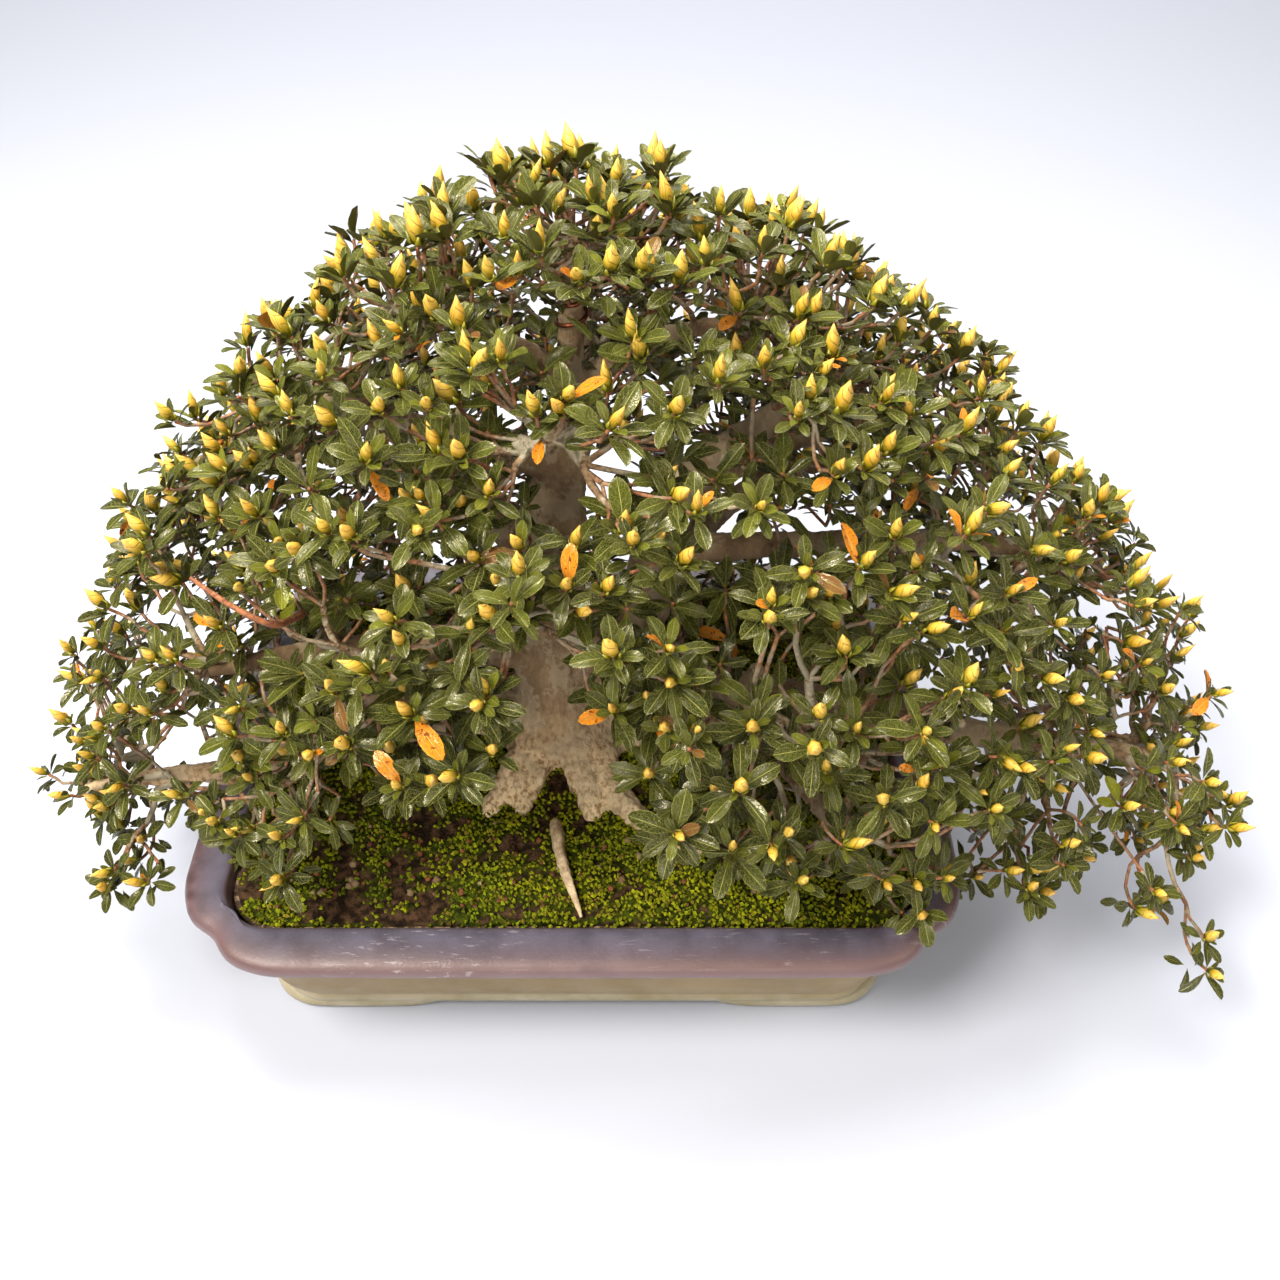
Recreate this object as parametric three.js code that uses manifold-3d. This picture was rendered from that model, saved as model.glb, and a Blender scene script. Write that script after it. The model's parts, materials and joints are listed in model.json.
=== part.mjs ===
// Satsuki azalea bonsai in its shallow ceramic tray. Units are millimetres, +Z is up, X runs along the
// tray and -Y is the front. The tree is laid out in the tray's own frame, with the feet at Z = 0, and the
// finished group is moved so that the middle of its whole footprint is the origin.
//
// The tray is a stack of rounded outlines. The wood is one solid of tapering limbs. The leaves stand in
// rosettes round a winter bud, and each spray of rosettes is one solid that meets the wood with a hair gap.
import * as THREE from "three";
import { mergeVertices } from "three/addons/utils/BufferGeometryUtils.js";
import Module from "manifold-3d";

const wasm = await Module();
wasm.setup();

// ---------------------------------------------------------------- driving dimensions
const GAP = 0.3; // air left between pieces that rest on each other
const HOLE_CLEARANCE = 0.45; // how much wider a root's hole is than the root

const LIP_HALF = [190, 146.5]; // the tray's lip, half its length and half its depth
const LIP_WIDTH = 23;
const RIM_HEIGHT = 85;
const BASE_HALF = [160, 118]; // the outline that the feet stand under
const FOOT_HEIGHT = 9;
const FLOOR_TOP = 17;
const DRAIN_RADIUS = 11;
const DRAIN_X = 78;
const DRAIN_PLATE = 36; // side of the square plastic mesh over each drain hole
const DRAIN_PLATE_THICKNESS = 1.2;

const SOIL_EDGE_HEIGHT = 78;
const SOIL_MOUND_HEIGHT = 13;
const MOUND_CENTRE = [-5, -15];
const MOUND_SPREAD = [95, 70];
const MOSS_THIN = 1.6;
const MOSS_CUSHION = 5.5; // how far a moss cushion stands above its thin edge

const LEAF_LENGTH = 21.5;
const LEAF_WIDTH = 8.4;
const BUD_LENGTH = 13;
const BUD_RADIUS = 2.9;
const SPRAY_SPREAD = 42; // distance between neighbouring rosettes of one spray
const WIRE_RADIUS = 0.9;

// ---------------------------------------------------------------- colours
const finish = (color, roughness, metalness = 0) =>
  new THREE.MeshStandardMaterial({ color, roughness, metalness });
const STONEWARE = finish(0x7c7376, 0.55);
const EARTH = finish(0x3a2c20, 0.95);
const MOSS_GREEN = finish(0x71791f, 0.95);
const BARK = finish(0x8a7660, 0.85);
const PALE_ROOT = finish(0xb89c78, 0.8);
const LEAF_GREEN = finish(0x42553a, 0.45);
const COPPER = finish(0x6b3f2c, 0.4, 0.8);
const BLACK_PLASTIC = finish(0x242424, 0.6);

// A seeded draw between 0 and 1, so that the tree grows the same way every time.
function seededDraw(seed) {
  let state = seed >>> 0;
  return () => {
    state = (Math.imul(state, 1664525) + 1013904223) >>> 0;
    return state / 4294967296;
  };
}

// ---------------------------------------------------------------- solids
function solidOf(geometry) {
  const bare = geometry.index ? geometry.clone() : geometry;
  bare.deleteAttribute("normal");
  bare.deleteAttribute("uv");
  const merged = mergeVertices(bare, 1e-4);
  return new wasm.Manifold(
    new wasm.Mesh({
      numProp: 3,
      vertProperties: new Float32Array(merged.attributes.position.array),
      triVerts: new Uint32Array(merged.index.array),
    }),
  );
}

function geometryOf(solid) {
  const mesh = solid.getMesh();
  const geometry = new THREE.BufferGeometry();
  geometry.setAttribute("position", new THREE.BufferAttribute(mesh.vertProperties, 3));
  geometry.setIndex(new THREE.BufferAttribute(mesh.triVerts, 1));
  geometry.computeVertexNormals();
  return geometry;
}

function union(solids) {
  return solids.reduce((whole, next) => whole.add(next));
}

// Closes a stack of rings, each the same number of points, into one solid. The first ring is closed by a
// cap that faces back and the last by one that faces on.
function loft(rings) {
  const count = rings[0].length;
  const positions = rings.flat().flatMap((p) => [p.x, p.y, p.z]);
  const centreOf = (ring) =>
    ring.reduce((sum, p) => sum.add(p), new THREE.Vector3()).divideScalar(count);
  const first = positions.length / 3;
  for (const ring of [rings[0], rings.at(-1)]) {
    positions.push(...centreOf(ring).toArray());
  }
  const index = [];
  for (let i = 0; i < count; i += 1) {
    const j = (i + 1) % count;
    index.push(first, j, i);
    const top = (rings.length - 1) * count;
    index.push(first + 1, top + i, top + j);
    for (let r = 0; r + 1 < rings.length; r += 1) {
      const low = r * count;
      const high = low + count;
      index.push(low + i, low + j, high + j);
      index.push(low + i, high + j, high + i);
    }
  }
  const geometry = new THREE.BufferGeometry();
  geometry.setAttribute("position", new THREE.Float32BufferAttribute(positions, 3));
  geometry.setIndex(index);
  return solidOf(geometry);
}

// A limb follows a smooth curve through its points and tapers from one radius to the next. Its section
// has few sides, as bark ridges do.
function limb(points, radii, sides, steps, extra = 0) {
  const curve = new THREE.CatmullRomCurve3(points.map((p) => new THREE.Vector3(...p)));
  const side = new THREE.Vector3();
  const other = new THREE.Vector3();
  const rings = [];
  let reference = new THREE.Vector3(0.31, 0.17, 0.93).normalize();
  for (let s = 0; s <= steps; s += 1) {
    const t = s / steps;
    const centre = curve.getPoint(t);
    const along = curve.getTangent(t);
    side.crossVectors(along, reference);
    if (side.length() < 0.2) {
      side.crossVectors(along, new THREE.Vector3(1, 0, 0));
    }
    side.normalize();
    other.crossVectors(along, side).normalize();
    reference = new THREE.Vector3().crossVectors(side, along).normalize();
    const place = t * (radii.length - 1);
    const k = Math.min(Math.floor(place), radii.length - 2);
    const radius = THREE.MathUtils.lerp(radii[k], radii[k + 1], place - k) + extra;
    if (extra && (s === 0 || s === steps)) {
      centre.addScaledVector(along, s === 0 ? -extra : extra);
    }
    const ring = [];
    for (let i = 0; i < sides; i += 1) {
      const angle = (i / sides) * Math.PI * 2;
      ring.push(
        centre
          .clone()
          .addScaledVector(side, Math.cos(angle) * radius)
          .addScaledVector(other, Math.sin(angle) * radius),
      );
    }
    rings.push(ring);
  }
  return loft(rings);
}

// ---------------------------------------------------------------- tray
const CORNER_STEPS = 6;
const BED_CORNER_STEPS = 4;
const NICK_SPREAD = 10; // degrees to either side of the diagonal

// A rectangle with round corners, each nicked inwards at its diagonal. The nick is what makes the
// outline of a tray with indented corners.
function trayOutline(halfX, halfY, z, radius, nick, steps = CORNER_STEPS) {
  const ring = [];
  for (let corner = 0; corner < 4; corner += 1) {
    const sx = corner === 0 || corner === 3 ? 1 : -1;
    const sy = corner < 2 ? 1 : -1;
    for (let step = 0; step <= steps; step += 1) {
      const turn = (corner + step / steps) * (Math.PI / 2);
      const offDiagonal = (step / steps - 0.5) * 90;
      const reach = radius - nick * Math.exp(-((offDiagonal / NICK_SPREAD) ** 2));
      ring.push(
        new THREE.Vector3(
          sx * (halfX - radius) + Math.cos(turn) * reach,
          sy * (halfY - radius) + Math.sin(turn) * reach,
          z,
        ),
      );
    }
  }
  return ring;
}

function lipRing(inset, z) {
  return trayOutline(LIP_HALF[0] - inset, LIP_HALF[1] - inset, z, 60 - inset, 5);
}

function wallRing(outset, z) {
  return trayOutline(BASE_HALF[0] + outset, BASE_HALF[1] + outset, z, 34 + outset, 3);
}

function innerRing(inset, z, steps) {
  const halfX = LIP_HALF[0] - LIP_WIDTH - inset;
  const halfY = LIP_HALF[1] - LIP_WIDTH - inset;
  return trayOutline(halfX, halfY, z, 27, 0, steps);
}

// One foot is an L under a corner. Its arms reach further along the tray at the top than at the bottom.
function foot(signX, signY) {
  const armWidth = 17;
  const radius = 26;
  const outline = (armX, armY, inset, z) => {
    const [hx, hy] = [BASE_HALF[0] - inset, BASE_HALF[1] - inset];
    const points = [
      [armX, hy - armWidth],
      [hx - armWidth, hy - armWidth],
      [hx - armWidth, armY],
      [hx, armY],
    ];
    for (let step = 0; step <= 5; step += 1) {
      const turn = (step / 5) * (Math.PI / 2);
      points.push([hx - radius + Math.cos(turn) * radius, hy - radius + Math.sin(turn) * radius]);
    }
    points.push([armX, hy]);
    const ring = points.map(([x, y]) => new THREE.Vector3(signX * x, signY * y, z));
    return signX * signY < 0 ? ring.reverse() : ring;
  };
  return loft([
    outline(74, 42, 3.5, 0),
    outline(70, 38, 1, FOOT_HEIGHT * 0.5),
    outline(62, 30, 1.5, FOOT_HEIGHT + 0.8),
  ]);
}

function potSolid() {
  let pot = loft([
    wallRing(-3, FOOT_HEIGHT),
    wallRing(0, FOOT_HEIGHT + 1),
    wallRing(0.5, FOOT_HEIGHT + 6),
    wallRing(-1, FOOT_HEIGHT + 7.5),
    wallRing(5, 24),
    wallRing(10, 44),
    wallRing(12.5, RIM_HEIGHT - 11),
    lipRing(3, RIM_HEIGHT - 11.5),
    lipRing(0, RIM_HEIGHT - 8),
    lipRing(0.3, RIM_HEIGHT - 4.5),
    lipRing(4, RIM_HEIGHT - 1.8),
    innerRing(-3, RIM_HEIGHT),
    innerRing(0, RIM_HEIGHT - 2),
    innerRing(9, 24),
    innerRing(16, FLOOR_TOP),
  ]);
  for (const signX of [-1, 1]) {
    for (const signY of [-1, 1]) {
      pot = pot.add(foot(signX, signY));
    }
    const drill = new THREE.CylinderGeometry(DRAIN_RADIUS, DRAIN_RADIUS, 30, 16);
    drill.rotateX(Math.PI / 2);
    drill.translate(signX * DRAIN_X, 0, FLOOR_TOP);
    pot = pot.subtract(solidOf(drill));
  }
  return pot;
}

function drainMesh(signX, extra = 0) {
  const side = DRAIN_PLATE + 2 * extra;
  const thickness = DRAIN_PLATE_THICKNESS + 2 * extra;
  const middle = FLOOR_TOP + GAP + DRAIN_PLATE_THICKNESS / 2;
  const plate = new THREE.BoxGeometry(side, side, thickness);
  plate.translate(signX * DRAIN_X, 0, middle);
  let mesh = solidOf(plate);
  if (extra) {
    return mesh;
  }
  const cells = 2;
  const pitch = (2 * DRAIN_RADIUS) / cells;
  for (let i = 0; i < cells; i += 1) {
    for (let j = 0; j < cells; j += 1) {
      const cell = new THREE.BoxGeometry(pitch * 0.68, pitch * 0.68, 4);
      const offset = (k) => (k - (cells - 1) / 2) * pitch;
      cell.translate(signX * DRAIN_X + offset(i), offset(j), middle);
      mesh = mesh.subtract(solidOf(cell));
    }
  }
  return mesh;
}

// ---------------------------------------------------------------- soil and moss
const BED_SCALES = [1, 0.86, 0.68, 0.5, 0.32];

function soilHeight(x, y) {
  const dx = (x - MOUND_CENTRE[0]) / MOUND_SPREAD[0];
  const dy = (y - MOUND_CENTRE[1]) / MOUND_SPREAD[1];
  return SOIL_EDGE_HEIGHT + SOIL_MOUND_HEIGHT * Math.exp(-(dx * dx + dy * dy));
}

function mossThickness(x, y) {
  const cushions =
    Math.sin(x * 0.115 + 0.7) * Math.cos(y * 0.13 - 0.4) +
    0.6 * Math.sin(x * 0.071 - y * 0.094 + 1.9);
  return MOSS_THIN + MOSS_CUSHION * (0.45 + 0.34 * cushions);
}

// Rings over the bed of the tray, from its edge inwards, each point at the height that is asked for.
function bedRings(inset, heightAt) {
  const edge = innerRing(inset, 0, BED_CORNER_STEPS);
  return BED_SCALES.map((scale) =>
    edge.map((p) => {
      const [x, y] = [p.x * scale, p.y * scale];
      return new THREE.Vector3(x, y, heightAt(x, y));
    }),
  );
}

function soilSolid(raise = 0) {
  const side = GAP + 0.2;
  return loft([
    innerRing(16 + side, FLOOR_TOP + GAP, BED_CORNER_STEPS),
    innerRing(9 + side, 24 + GAP, BED_CORNER_STEPS),
    ...bedRings(1.5 + side, (x, y) => soilHeight(x, y) + raise),
  ]);
}

// The moss is what stands above the soil of a block with a cushioned top.
function mossSolid() {
  const cushions = bedRings(3.5, (x, y) => soilHeight(x, y) + mossThickness(x, y));
  return loft([innerRing(3.5, 74, BED_CORNER_STEPS), ...cushions]).subtract(soilSolid(GAP));
}

// ---------------------------------------------------------------- wood
// Each limb is a route from where it leaves the wood, and its radius along that route.
const TRUNK = {
  route: [
    [-7, -18, 62],
    [-7, -18, 92],
    [-8, -11, 122],
    [-8, -4, 158],
    [-8, 0, 205],
    [-3, 3, 251],
    [4, 3, 280],
    [3, 4, 308],
    [5, 5, 336],
    [6, 8, 362],
  ],
  radii: [30, 31, 25, 20.5, 15.5, 11.5, 9, 6.5, 4.5, 3],
};

const ROOTS = [
  { route: [[-14, -22, 104], [-28, -38, 97], [-40, -49, 87], [-56, -58, 66]], radii: [13, 12, 9, 4] },
  { route: [[-2, -26, 108], [6, -42, 98], [10, -55, 87], [12, -72, 64]], radii: [13, 11, 8, 4] },
  { route: [[6, -24, 106], [18, -46, 95], [30, -62, 90], [46, -71, 86], [66, -80, 68]], radii: [12, 9, 7.5, 6, 3] },
  { route: [[8, -14, 104], [30, -8, 94], [50, 2, 82], [74, 8, 60]], radii: [14, 11, 7, 3] },
  { route: [[-4, -6, 104], [2, 18, 92], [6, 38, 78], [10, 60, 52]], radii: [14, 11, 7, 3] },
  { route: [[-18, -14, 104], [-40, -4, 92], [-60, 8, 78], [-88, 18, 54]], radii: [13, 11, 7, 3] },
  { route: [[-7, -18, 70], [-30, -30, 50], [-70, -40, 36], [-110, -30, 32]], radii: [16, 11, 7, 3] },
  { route: [[-7, -18, 70], [25, -10, 50], [70, -30, 38], [115, -25, 33]], radii: [16, 11, 7, 3] },
];

const BOUGHS = {
  secondTrunk: {
    route: [[-2, -10, 120], [22, -2, 146], [37, 9, 180], [43, 18, 214], [62, 22, 242], [90, 25, 266], [120, 30, 288]],
    radii: [17, 15.5, 12.5, 10.5, 8.5, 6.5, 4],
  },
  rightLow: {
    route: [[4, -12, 114], [50, -8, 124], [95, -12, 126], [140, -20, 121], [190, -35, 125], [240, -50, 131], [288, -58, 130]],
    radii: [15, 12, 10, 9.5, 7, 5, 3],
  },
  rightFrontLow: {
    route: [[70, -10, 125], [92, -45, 132], [112, -82, 131], [134, -114, 120]],
    radii: [8, 6, 4.5, 3],
  },
  leftLow: {
    route: [[-20, -15, 118], [-60, -28, 127], [-110, -38, 119], [-160, -48, 112], [-212, -55, 111], [-242, -58, 106]],
    radii: [11, 8.5, 7, 5.5, 4, 2.8],
  },
  leftFrontMid: {
    route: [[-20, -8, 152], [-66, -34, 180], [-115, -50, 193], [-160, -62, 192]],
    radii: [9, 7, 5, 3],
  },
  leftUpper: {
    route: [[-3, 2, 258], [-34, 1, 270], [-62, 2, 277], [-100, 8, 290], [-136, 14, 296]],
    radii: [9, 7.5, 6, 4.5, 3],
  },
  leftBack: {
    route: [[-8, 2, 192], [-50, 30, 216], [-100, 48, 232], [-156, 52, 236], [-192, 40, 226]],
    radii: [9, 7, 5.5, 4, 2.8],
  },
  backLeft: {
    route: [[-6, 0, 160], [-32, 52, 184], [-66, 88, 196], [-106, 104, 196]],
    radii: [9, 6.5, 5, 3],
  },
  backRight: {
    route: [[34, 8, 172], [70, 52, 190], [112, 84, 198], [152, 94, 192]],
    radii: [8, 6.5, 5, 3],
  },
  backHigh: {
    route: [[-4, 3, 240], [0, 44, 266], [6, 76, 278], [8, 98, 276]],
    radii: [7, 5.5, 4.2, 3],
  },
  rightMid: {
    route: [[40, 14, 200], [92, 8, 208], [142, 0, 216], [190, -6, 220], [232, -10, 214]],
    radii: [8, 6.5, 5.5, 4.2, 2.8],
  },
  rightBack: {
    route: [[50, 20, 226], [96, 42, 240], [142, 56, 244], [186, 58, 236]],
    radii: [7, 5.5, 4.5, 3],
  },
  frontMiddle: {
    route: [[-7, -2, 212], [-10, -38, 240], [-14, -66, 250], [-16, -86, 246]],
    radii: [8, 6, 4.5, 3],
  },
  frontLeft: {
    route: [[-8, -4, 186], [-42, -46, 206], [-76, -80, 204], [-104, -98, 190]],
    radii: [8, 6, 4.5, 3],
  },
  frontRight: {
    route: [[22, -2, 152], [52, -44, 178], [82, -78, 186], [112, -98, 178]],
    radii: [9, 6.5, 4.5, 3],
  },
  topFront: {
    route: [[4, 3, 284], [0, -30, 304], [-4, -56, 308]],
    radii: [5.5, 4.2, 3],
  },
  topLeft: {
    route: [[3, 4, 302], [-32, 8, 322], [-66, 12, 330]],
    radii: [5.5, 4, 2.8],
  },
  topRight: {
    route: [[4, 4, 298], [40, 8, 318], [80, 12, 326]],
    radii: [5.5, 4.2, 2.8],
  },
  topBack: {
    route: [[4, 4, 312], [6, 36, 328], [8, 60, 330]],
    radii: [5, 3.8, 2.8],
  },
};

function woodParts(extra) {
  const roots = ROOTS.map(({ route, radii }) => limb(route, radii, 6, route.length, extra));
  const boughs = Object.values(BOUGHS).map(({ route, radii }) => {
    const sides = radii[0] > 10 ? 8 : radii[0] > 7 ? 6 : 5;
    return limb(route, radii, sides, route.length - 1, extra);
  });
  return { trunk: limb(TRUNK.route, TRUNK.radii, 10, 11, extra), roots, boughs };
}

const wood = woodParts(0);
const woodClearance = woodParts(HOLE_CLEARANCE);
const tree = union([wood.trunk, ...wood.roots, ...wood.boughs]);
const treeHole = union([woodClearance.trunk, ...woodClearance.roots]);
const treeClearance = union([treeHole, ...woodClearance.boughs]);

// A dead root that shows through the moss in front of the trunk.
function paleRoot(extra) {
  const route = [[-12, -58, 84], [-9, -66, 91.5], [-4, -88, 90.5], [3, -108, 86.5], [7, -114, 82]];
  return limb(route, [2.4, 4.4, 3.8, 2.8, 1], 6, 6, extra);
}

// Training wire: a few turns that lie on the bark of the leader.
function trainingWire() {
  const turns = 3;
  const start = 0.84;
  const end = 0.94;
  const curve = new THREE.CatmullRomCurve3(TRUNK.route.map((p) => new THREE.Vector3(...p)));
  const points = [];
  const steps = 24;
  for (let s = 0; s <= steps; s += 1) {
    const t = THREE.MathUtils.lerp(start, end, s / steps);
    const centre = curve.getPoint(t);
    const place = t * (TRUNK.radii.length - 1);
    const k = Math.floor(place);
    const bark = THREE.MathUtils.lerp(TRUNK.radii[k], TRUNK.radii[k + 1], place - k);
    const angle = (s / steps) * turns * Math.PI * 2;
    const reach = bark + WIRE_RADIUS + 1.1;
    points.push([centre.x + Math.cos(angle) * reach, centre.y + Math.sin(angle) * reach, centre.z]);
  }
  return limb(points, [WIRE_RADIUS, WIRE_RADIUS], 4, 26);
}

// ---------------------------------------------------------------- foliage
// The crown is a low dome. Each tier is a level of sprays: its height, the middle and half-axes of the
// ellipse that its rosettes stand on, how many sprays are spaced evenly along it, and how far round the
// first one is. Where a tier is open, no spray hides the trunk and the bed from the front.
const TIERS = [
  { z: 383, centre: [6, 14], half: [6, 6], count: 1, first: 0, rosettes: 3 },
  { z: 358, centre: [8, 14], half: [86, 56], count: 4, first: 0.06, rosettes: 2 },
  { z: 314, centre: [15, 12], half: [138, 94], count: 6, first: 0.95, rosettes: 2 },
  { z: 266, centre: [22, 6], half: [186, 118], count: 7, first: 0.02, rosettes: 3 },
  { z: 216, centre: [26, 2], half: [226, 130], count: 8, first: 0.07, rosettes: 3, open: [-70, 32] },
  { z: 166, centre: [36, -4], half: [266, 136], count: 8, first: 0.01, rosettes: 3, open: [-92, 36] },
  { z: 120, centre: [36, -10], half: [288, 138], count: 8, first: 0.06, rosettes: 3, open: [-86, 46] },
];
// Sprays that fill the front under the crown and reach past the tray at either end.
const LOW_SPRAYS = [
  [-12, -90, 258],
  [-68, -80, 168],
  [286, -122, 96],
  [-206, -100, 92],
  [-256, -56, 110],
];
const DOME = { centre: [26, 2, 120], half: [300, 160, 285] };
const UP = new THREE.Vector3(0, 0, 1);

function outward(point) {
  return new THREE.Vector3(
    (point.x - DOME.centre[0]) / DOME.half[0] ** 2,
    (point.y - DOME.centre[1]) / DOME.half[1] ** 2,
    (point.z - DOME.centre[2]) / DOME.half[2] ** 2,
  ).normalize();
}

// One sprig is a twig that ends in a rosette: a whorl of folded, drooping leaves round a winter bud. It is
// one closed skin. Each leaf is a kite whose upper face starts at the bud's foot and whose lower face
// starts at the twig, so that it thins towards its edges. A fatter copy tests for room round it.
function sprig(route, axis, seed, radii, fat) {
  const draw = seededDraw(seed);
  const leaves = draw() < 0.7 ? 4 : 5;
  const first = draw() * Math.PI * 2;
  const middles = [];
  for (let leaf = 0; leaf < leaves; leaf += 1) {
    middles.push(first + ((leaf + (draw() - 0.5) * 0.24) / leaves) * Math.PI * 2);
  }
  const place = route.at(-1);
  const frameAt = (direction) => new THREE.Quaternion().setFromUnitVectors(UP, axis).premultiply(
    new THREE.Quaternion().setFromUnitVectors(axis, direction),
  );
  const head = frameAt(axis);
  const at = (angle, radius, z) =>
    new THREE.Vector3(Math.cos(angle) * radius, Math.sin(angle) * radius, z)
      .applyQuaternion(head)
      .add(place);
  const ringAt = (centre, direction, radius) => {
    const frame = frameAt(direction);
    return middles.map((angle) =>
      new THREE.Vector3(Math.cos(angle) * radius, Math.sin(angle) * radius, 0)
        .applyQuaternion(frame)
        .add(centre),
    );
  };
  const vertices = [];
  const index = [];
  const put = (points) => points.map((point) => vertices.push(point.x, point.y, point.z) / 3 - 1);
  const twigRings = route.slice(0, -1).map((centre, k) => {
    const next = route[k + 1].clone().sub(centre).normalize();
    const last = k ? centre.clone().sub(route[k - 1]).normalize() : next;
    return put(ringAt(centre, next.add(last).normalize(), radii[k] + fat));
  });
  const [heel] = put([route[0].clone()]);
  const throat = put(middles.map((angle) => at(angle, radii.at(-1) + fat, -1.7 - fat)));
  const budFoot = put(middles.map((angle) => at(angle, BUD_RADIUS * 0.62 + fat, 0.9 + fat)));
  const budBelly = put(middles.map((angle) => at(angle, BUD_RADIUS + fat, BUD_LENGTH * 0.42)));
  const [budTip] = put([at(0, 0, BUD_LENGTH + fat)]);
  const outline = middles.map((middle, leaf) => {
    const before = leaf ? middles[leaf - 1] : middles.at(-1) - Math.PI * 2;
    const lift = THREE.MathUtils.degToRad(10 + draw() * 34);
    const length = LEAF_LENGTH * (0.84 + draw() * 0.2) + fat;
    const half = (LEAF_WIDTH / 2) * (0.92 + draw() * 0.16) + fat;
    const blade = [
      [0.6, -1],
      [1, 0],
      [0.6, 1],
    ].map(([along, hand]) => {
      const flat = along * length * Math.cos(lift);
      const height = along * length * (Math.sin(lift) - 0.2 * along) + Math.abs(hand) * half * 0.4;
      return at(middle + Math.atan2(hand * half, flat), Math.hypot(flat, hand * half), height);
    });
    return put([at((before + middle) / 2, 2.5 + fat, 0), ...blade]);
  });
  for (let i = 0; i < leaves; i += 1) {
    const j = (i + 1) % leaves;
    const [valley, left, tip, right] = outline[i];
    const edge = [valley, left, tip, right, outline[j][0]];
    for (let k = 0; k < 4; k += 1) {
      index.push(budFoot[i], edge[k], edge[k + 1]);
      index.push(throat[i], edge[k + 1], edge[k]);
    }
    index.push(budFoot[i], outline[j][0], budFoot[j]);
    index.push(throat[i], throat[j], outline[j][0]);
    index.push(budBelly[i], budBelly[j], budTip);
    index.push(heel, twigRings[0][j], twigRings[0][i]);
    const bands = [[budFoot, budBelly]];
    [...twigRings, throat].forEach((ring, k, rings) => k && bands.push([rings[k - 1], ring]));
    for (const [low, high] of bands) {
      index.push(low[i], low[j], high[j], low[i], high[j], high[i]);
    }
  }
  const geometry = new THREE.BufferGeometry();
  geometry.setAttribute("position", new THREE.Float32BufferAttribute(vertices, 3));
  geometry.setIndex(index);
  return solidOf(geometry);
}

function nearestWood(point) {
  let best = null;
  for (const { route } of [{ route: TRUNK.route.slice(5) }, ...Object.values(BOUGHS)]) {
    const curve = new THREE.CatmullRomCurve3(route.map((p) => new THREE.Vector3(...p)));
    for (let s = 2; s <= 20; s += 1) {
      const place = curve.getPoint(s / 20);
      const above = Math.max(0, place.z - point.z + 12);
      const cost = place.distanceTo(point) + 1.6 * above;
      if (!best || cost < best.cost) {
        best = { cost, place };
      }
    }
  }
  return best.place;
}

const placed = [];

function isClear(solid, others) {
  const box = solid.boundingBox();
  return others.every((other) => {
    const apart = [0, 1, 2].some(
      (k) => box.min[k] > other.box.max[k] || box.max[k] < other.box.min[k],
    );
    return apart || solid.intersect(other.solid).isEmpty();
  });
}

// What is left of a solid once the wood and a hair gap round it are taken out: the largest piece.
function trimmedToWood(solid) {
  const pieces = solid.subtract(treeClearance).decompose();
  return pieces.sort((a, b) => b.volume() - a.volume())[0];
}

// One spray: a stem from the wood to the middle rosette, and a side twig to one on either hand. A
// rosette that would cross a neighbour is turned and shifted until it is clear, and left out after that.
function spray(middle, seed, hands, fixed) {
  const draw = seededDraw(seed);
  const normal = outward(middle);
  const across = new THREE.Vector3(-normal.y, normal.x, 0).normalize();
  const upslope = new THREE.Vector3().crossVectors(normal, across).normalize();
  const root = nearestWood(middle);
  let bend = null;
  const parts = [];
  for (const hand of hands) {
    for (let attempt = 0; attempt < 24; attempt += 1) {
      const wander = (span) => (draw() - 0.5) * span;
      const loose = 8 + attempt * 2;
      const place = middle
        .clone()
        .addScaledVector(across, hand * SPRAY_SPREAD + wander(loose))
        .addScaledVector(upslope, wander(loose) - hand * 10)
        .addScaledVector(normal, wander(loose));
      const knee =
        bend ?? root.clone().lerp(middle, 0.5).add(new THREE.Vector3(wander(loose), wander(loose), -7));
      const route = bend ? [bend, place] : [root, knee, place];
      const growth = place.clone().sub(knee).normalize();
      const axis = normal
        .clone()
        .addScaledVector(UP, 0.5)
        .addScaledVector(growth, 0.8)
        .add(new THREE.Vector3(wander(0.5), wander(0.5), wander(0.3)))
        .normalize();
      const radii = [2.2, 1.8, 1.15].slice(3 - route.length);
      const sprigSeed = Math.floor(draw() * 1e9);
      const room = sprig(route, axis, sprigSeed, radii, 0.5);
      const test = trimmedToWood(room);
      const sound = growth.dot(axis) > 0.3 && test.volume() > 0.8 * room.volume();
      if (sound && isClear(test, [...placed, ...fixed])) {
        parts.push(sprig(route, axis, sprigSeed, radii, 0));
        bend = knee;
        break;
      }
    }
    if (!parts.length) {
      return null;
    }
  }
  return trimmedToWood(union(parts));
}

// ---------------------------------------------------------------- the whole bonsai
const bonsai = new THREE.Group();

function addPiece(name, solid, material) {
  const mesh = new THREE.Mesh(geometryOf(solid), material);
  mesh.name = name;
  bonsai.add(mesh);
  return { solid, box: solid.boundingBox() };
}

const pot = addPiece("pot", potSolid(), STONEWARE);
addPiece("drain_mesh_left", drainMesh(-1), BLACK_PLASTIC);
addPiece("drain_mesh_right", drainMesh(1), BLACK_PLASTIC);

const soil = soilSolid()
  .subtract(treeHole)
  .subtract(paleRoot(HOLE_CLEARANCE))
  .subtract(drainMesh(-1, GAP))
  .subtract(drainMesh(1, GAP));
addPiece("soil", soil, EARTH);
const moss = addPiece(
  "moss",
  mossSolid().subtract(treeClearance).subtract(paleRoot(HOLE_CLEARANCE)),
  MOSS_GREEN,
);
addPiece("tree_wood", tree, BARK);
addPiece("dead_root", paleRoot(0).subtract(treeClearance), PALE_ROOT);
const wire = addPiece("training_wire", trainingWire(), COPPER);

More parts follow.
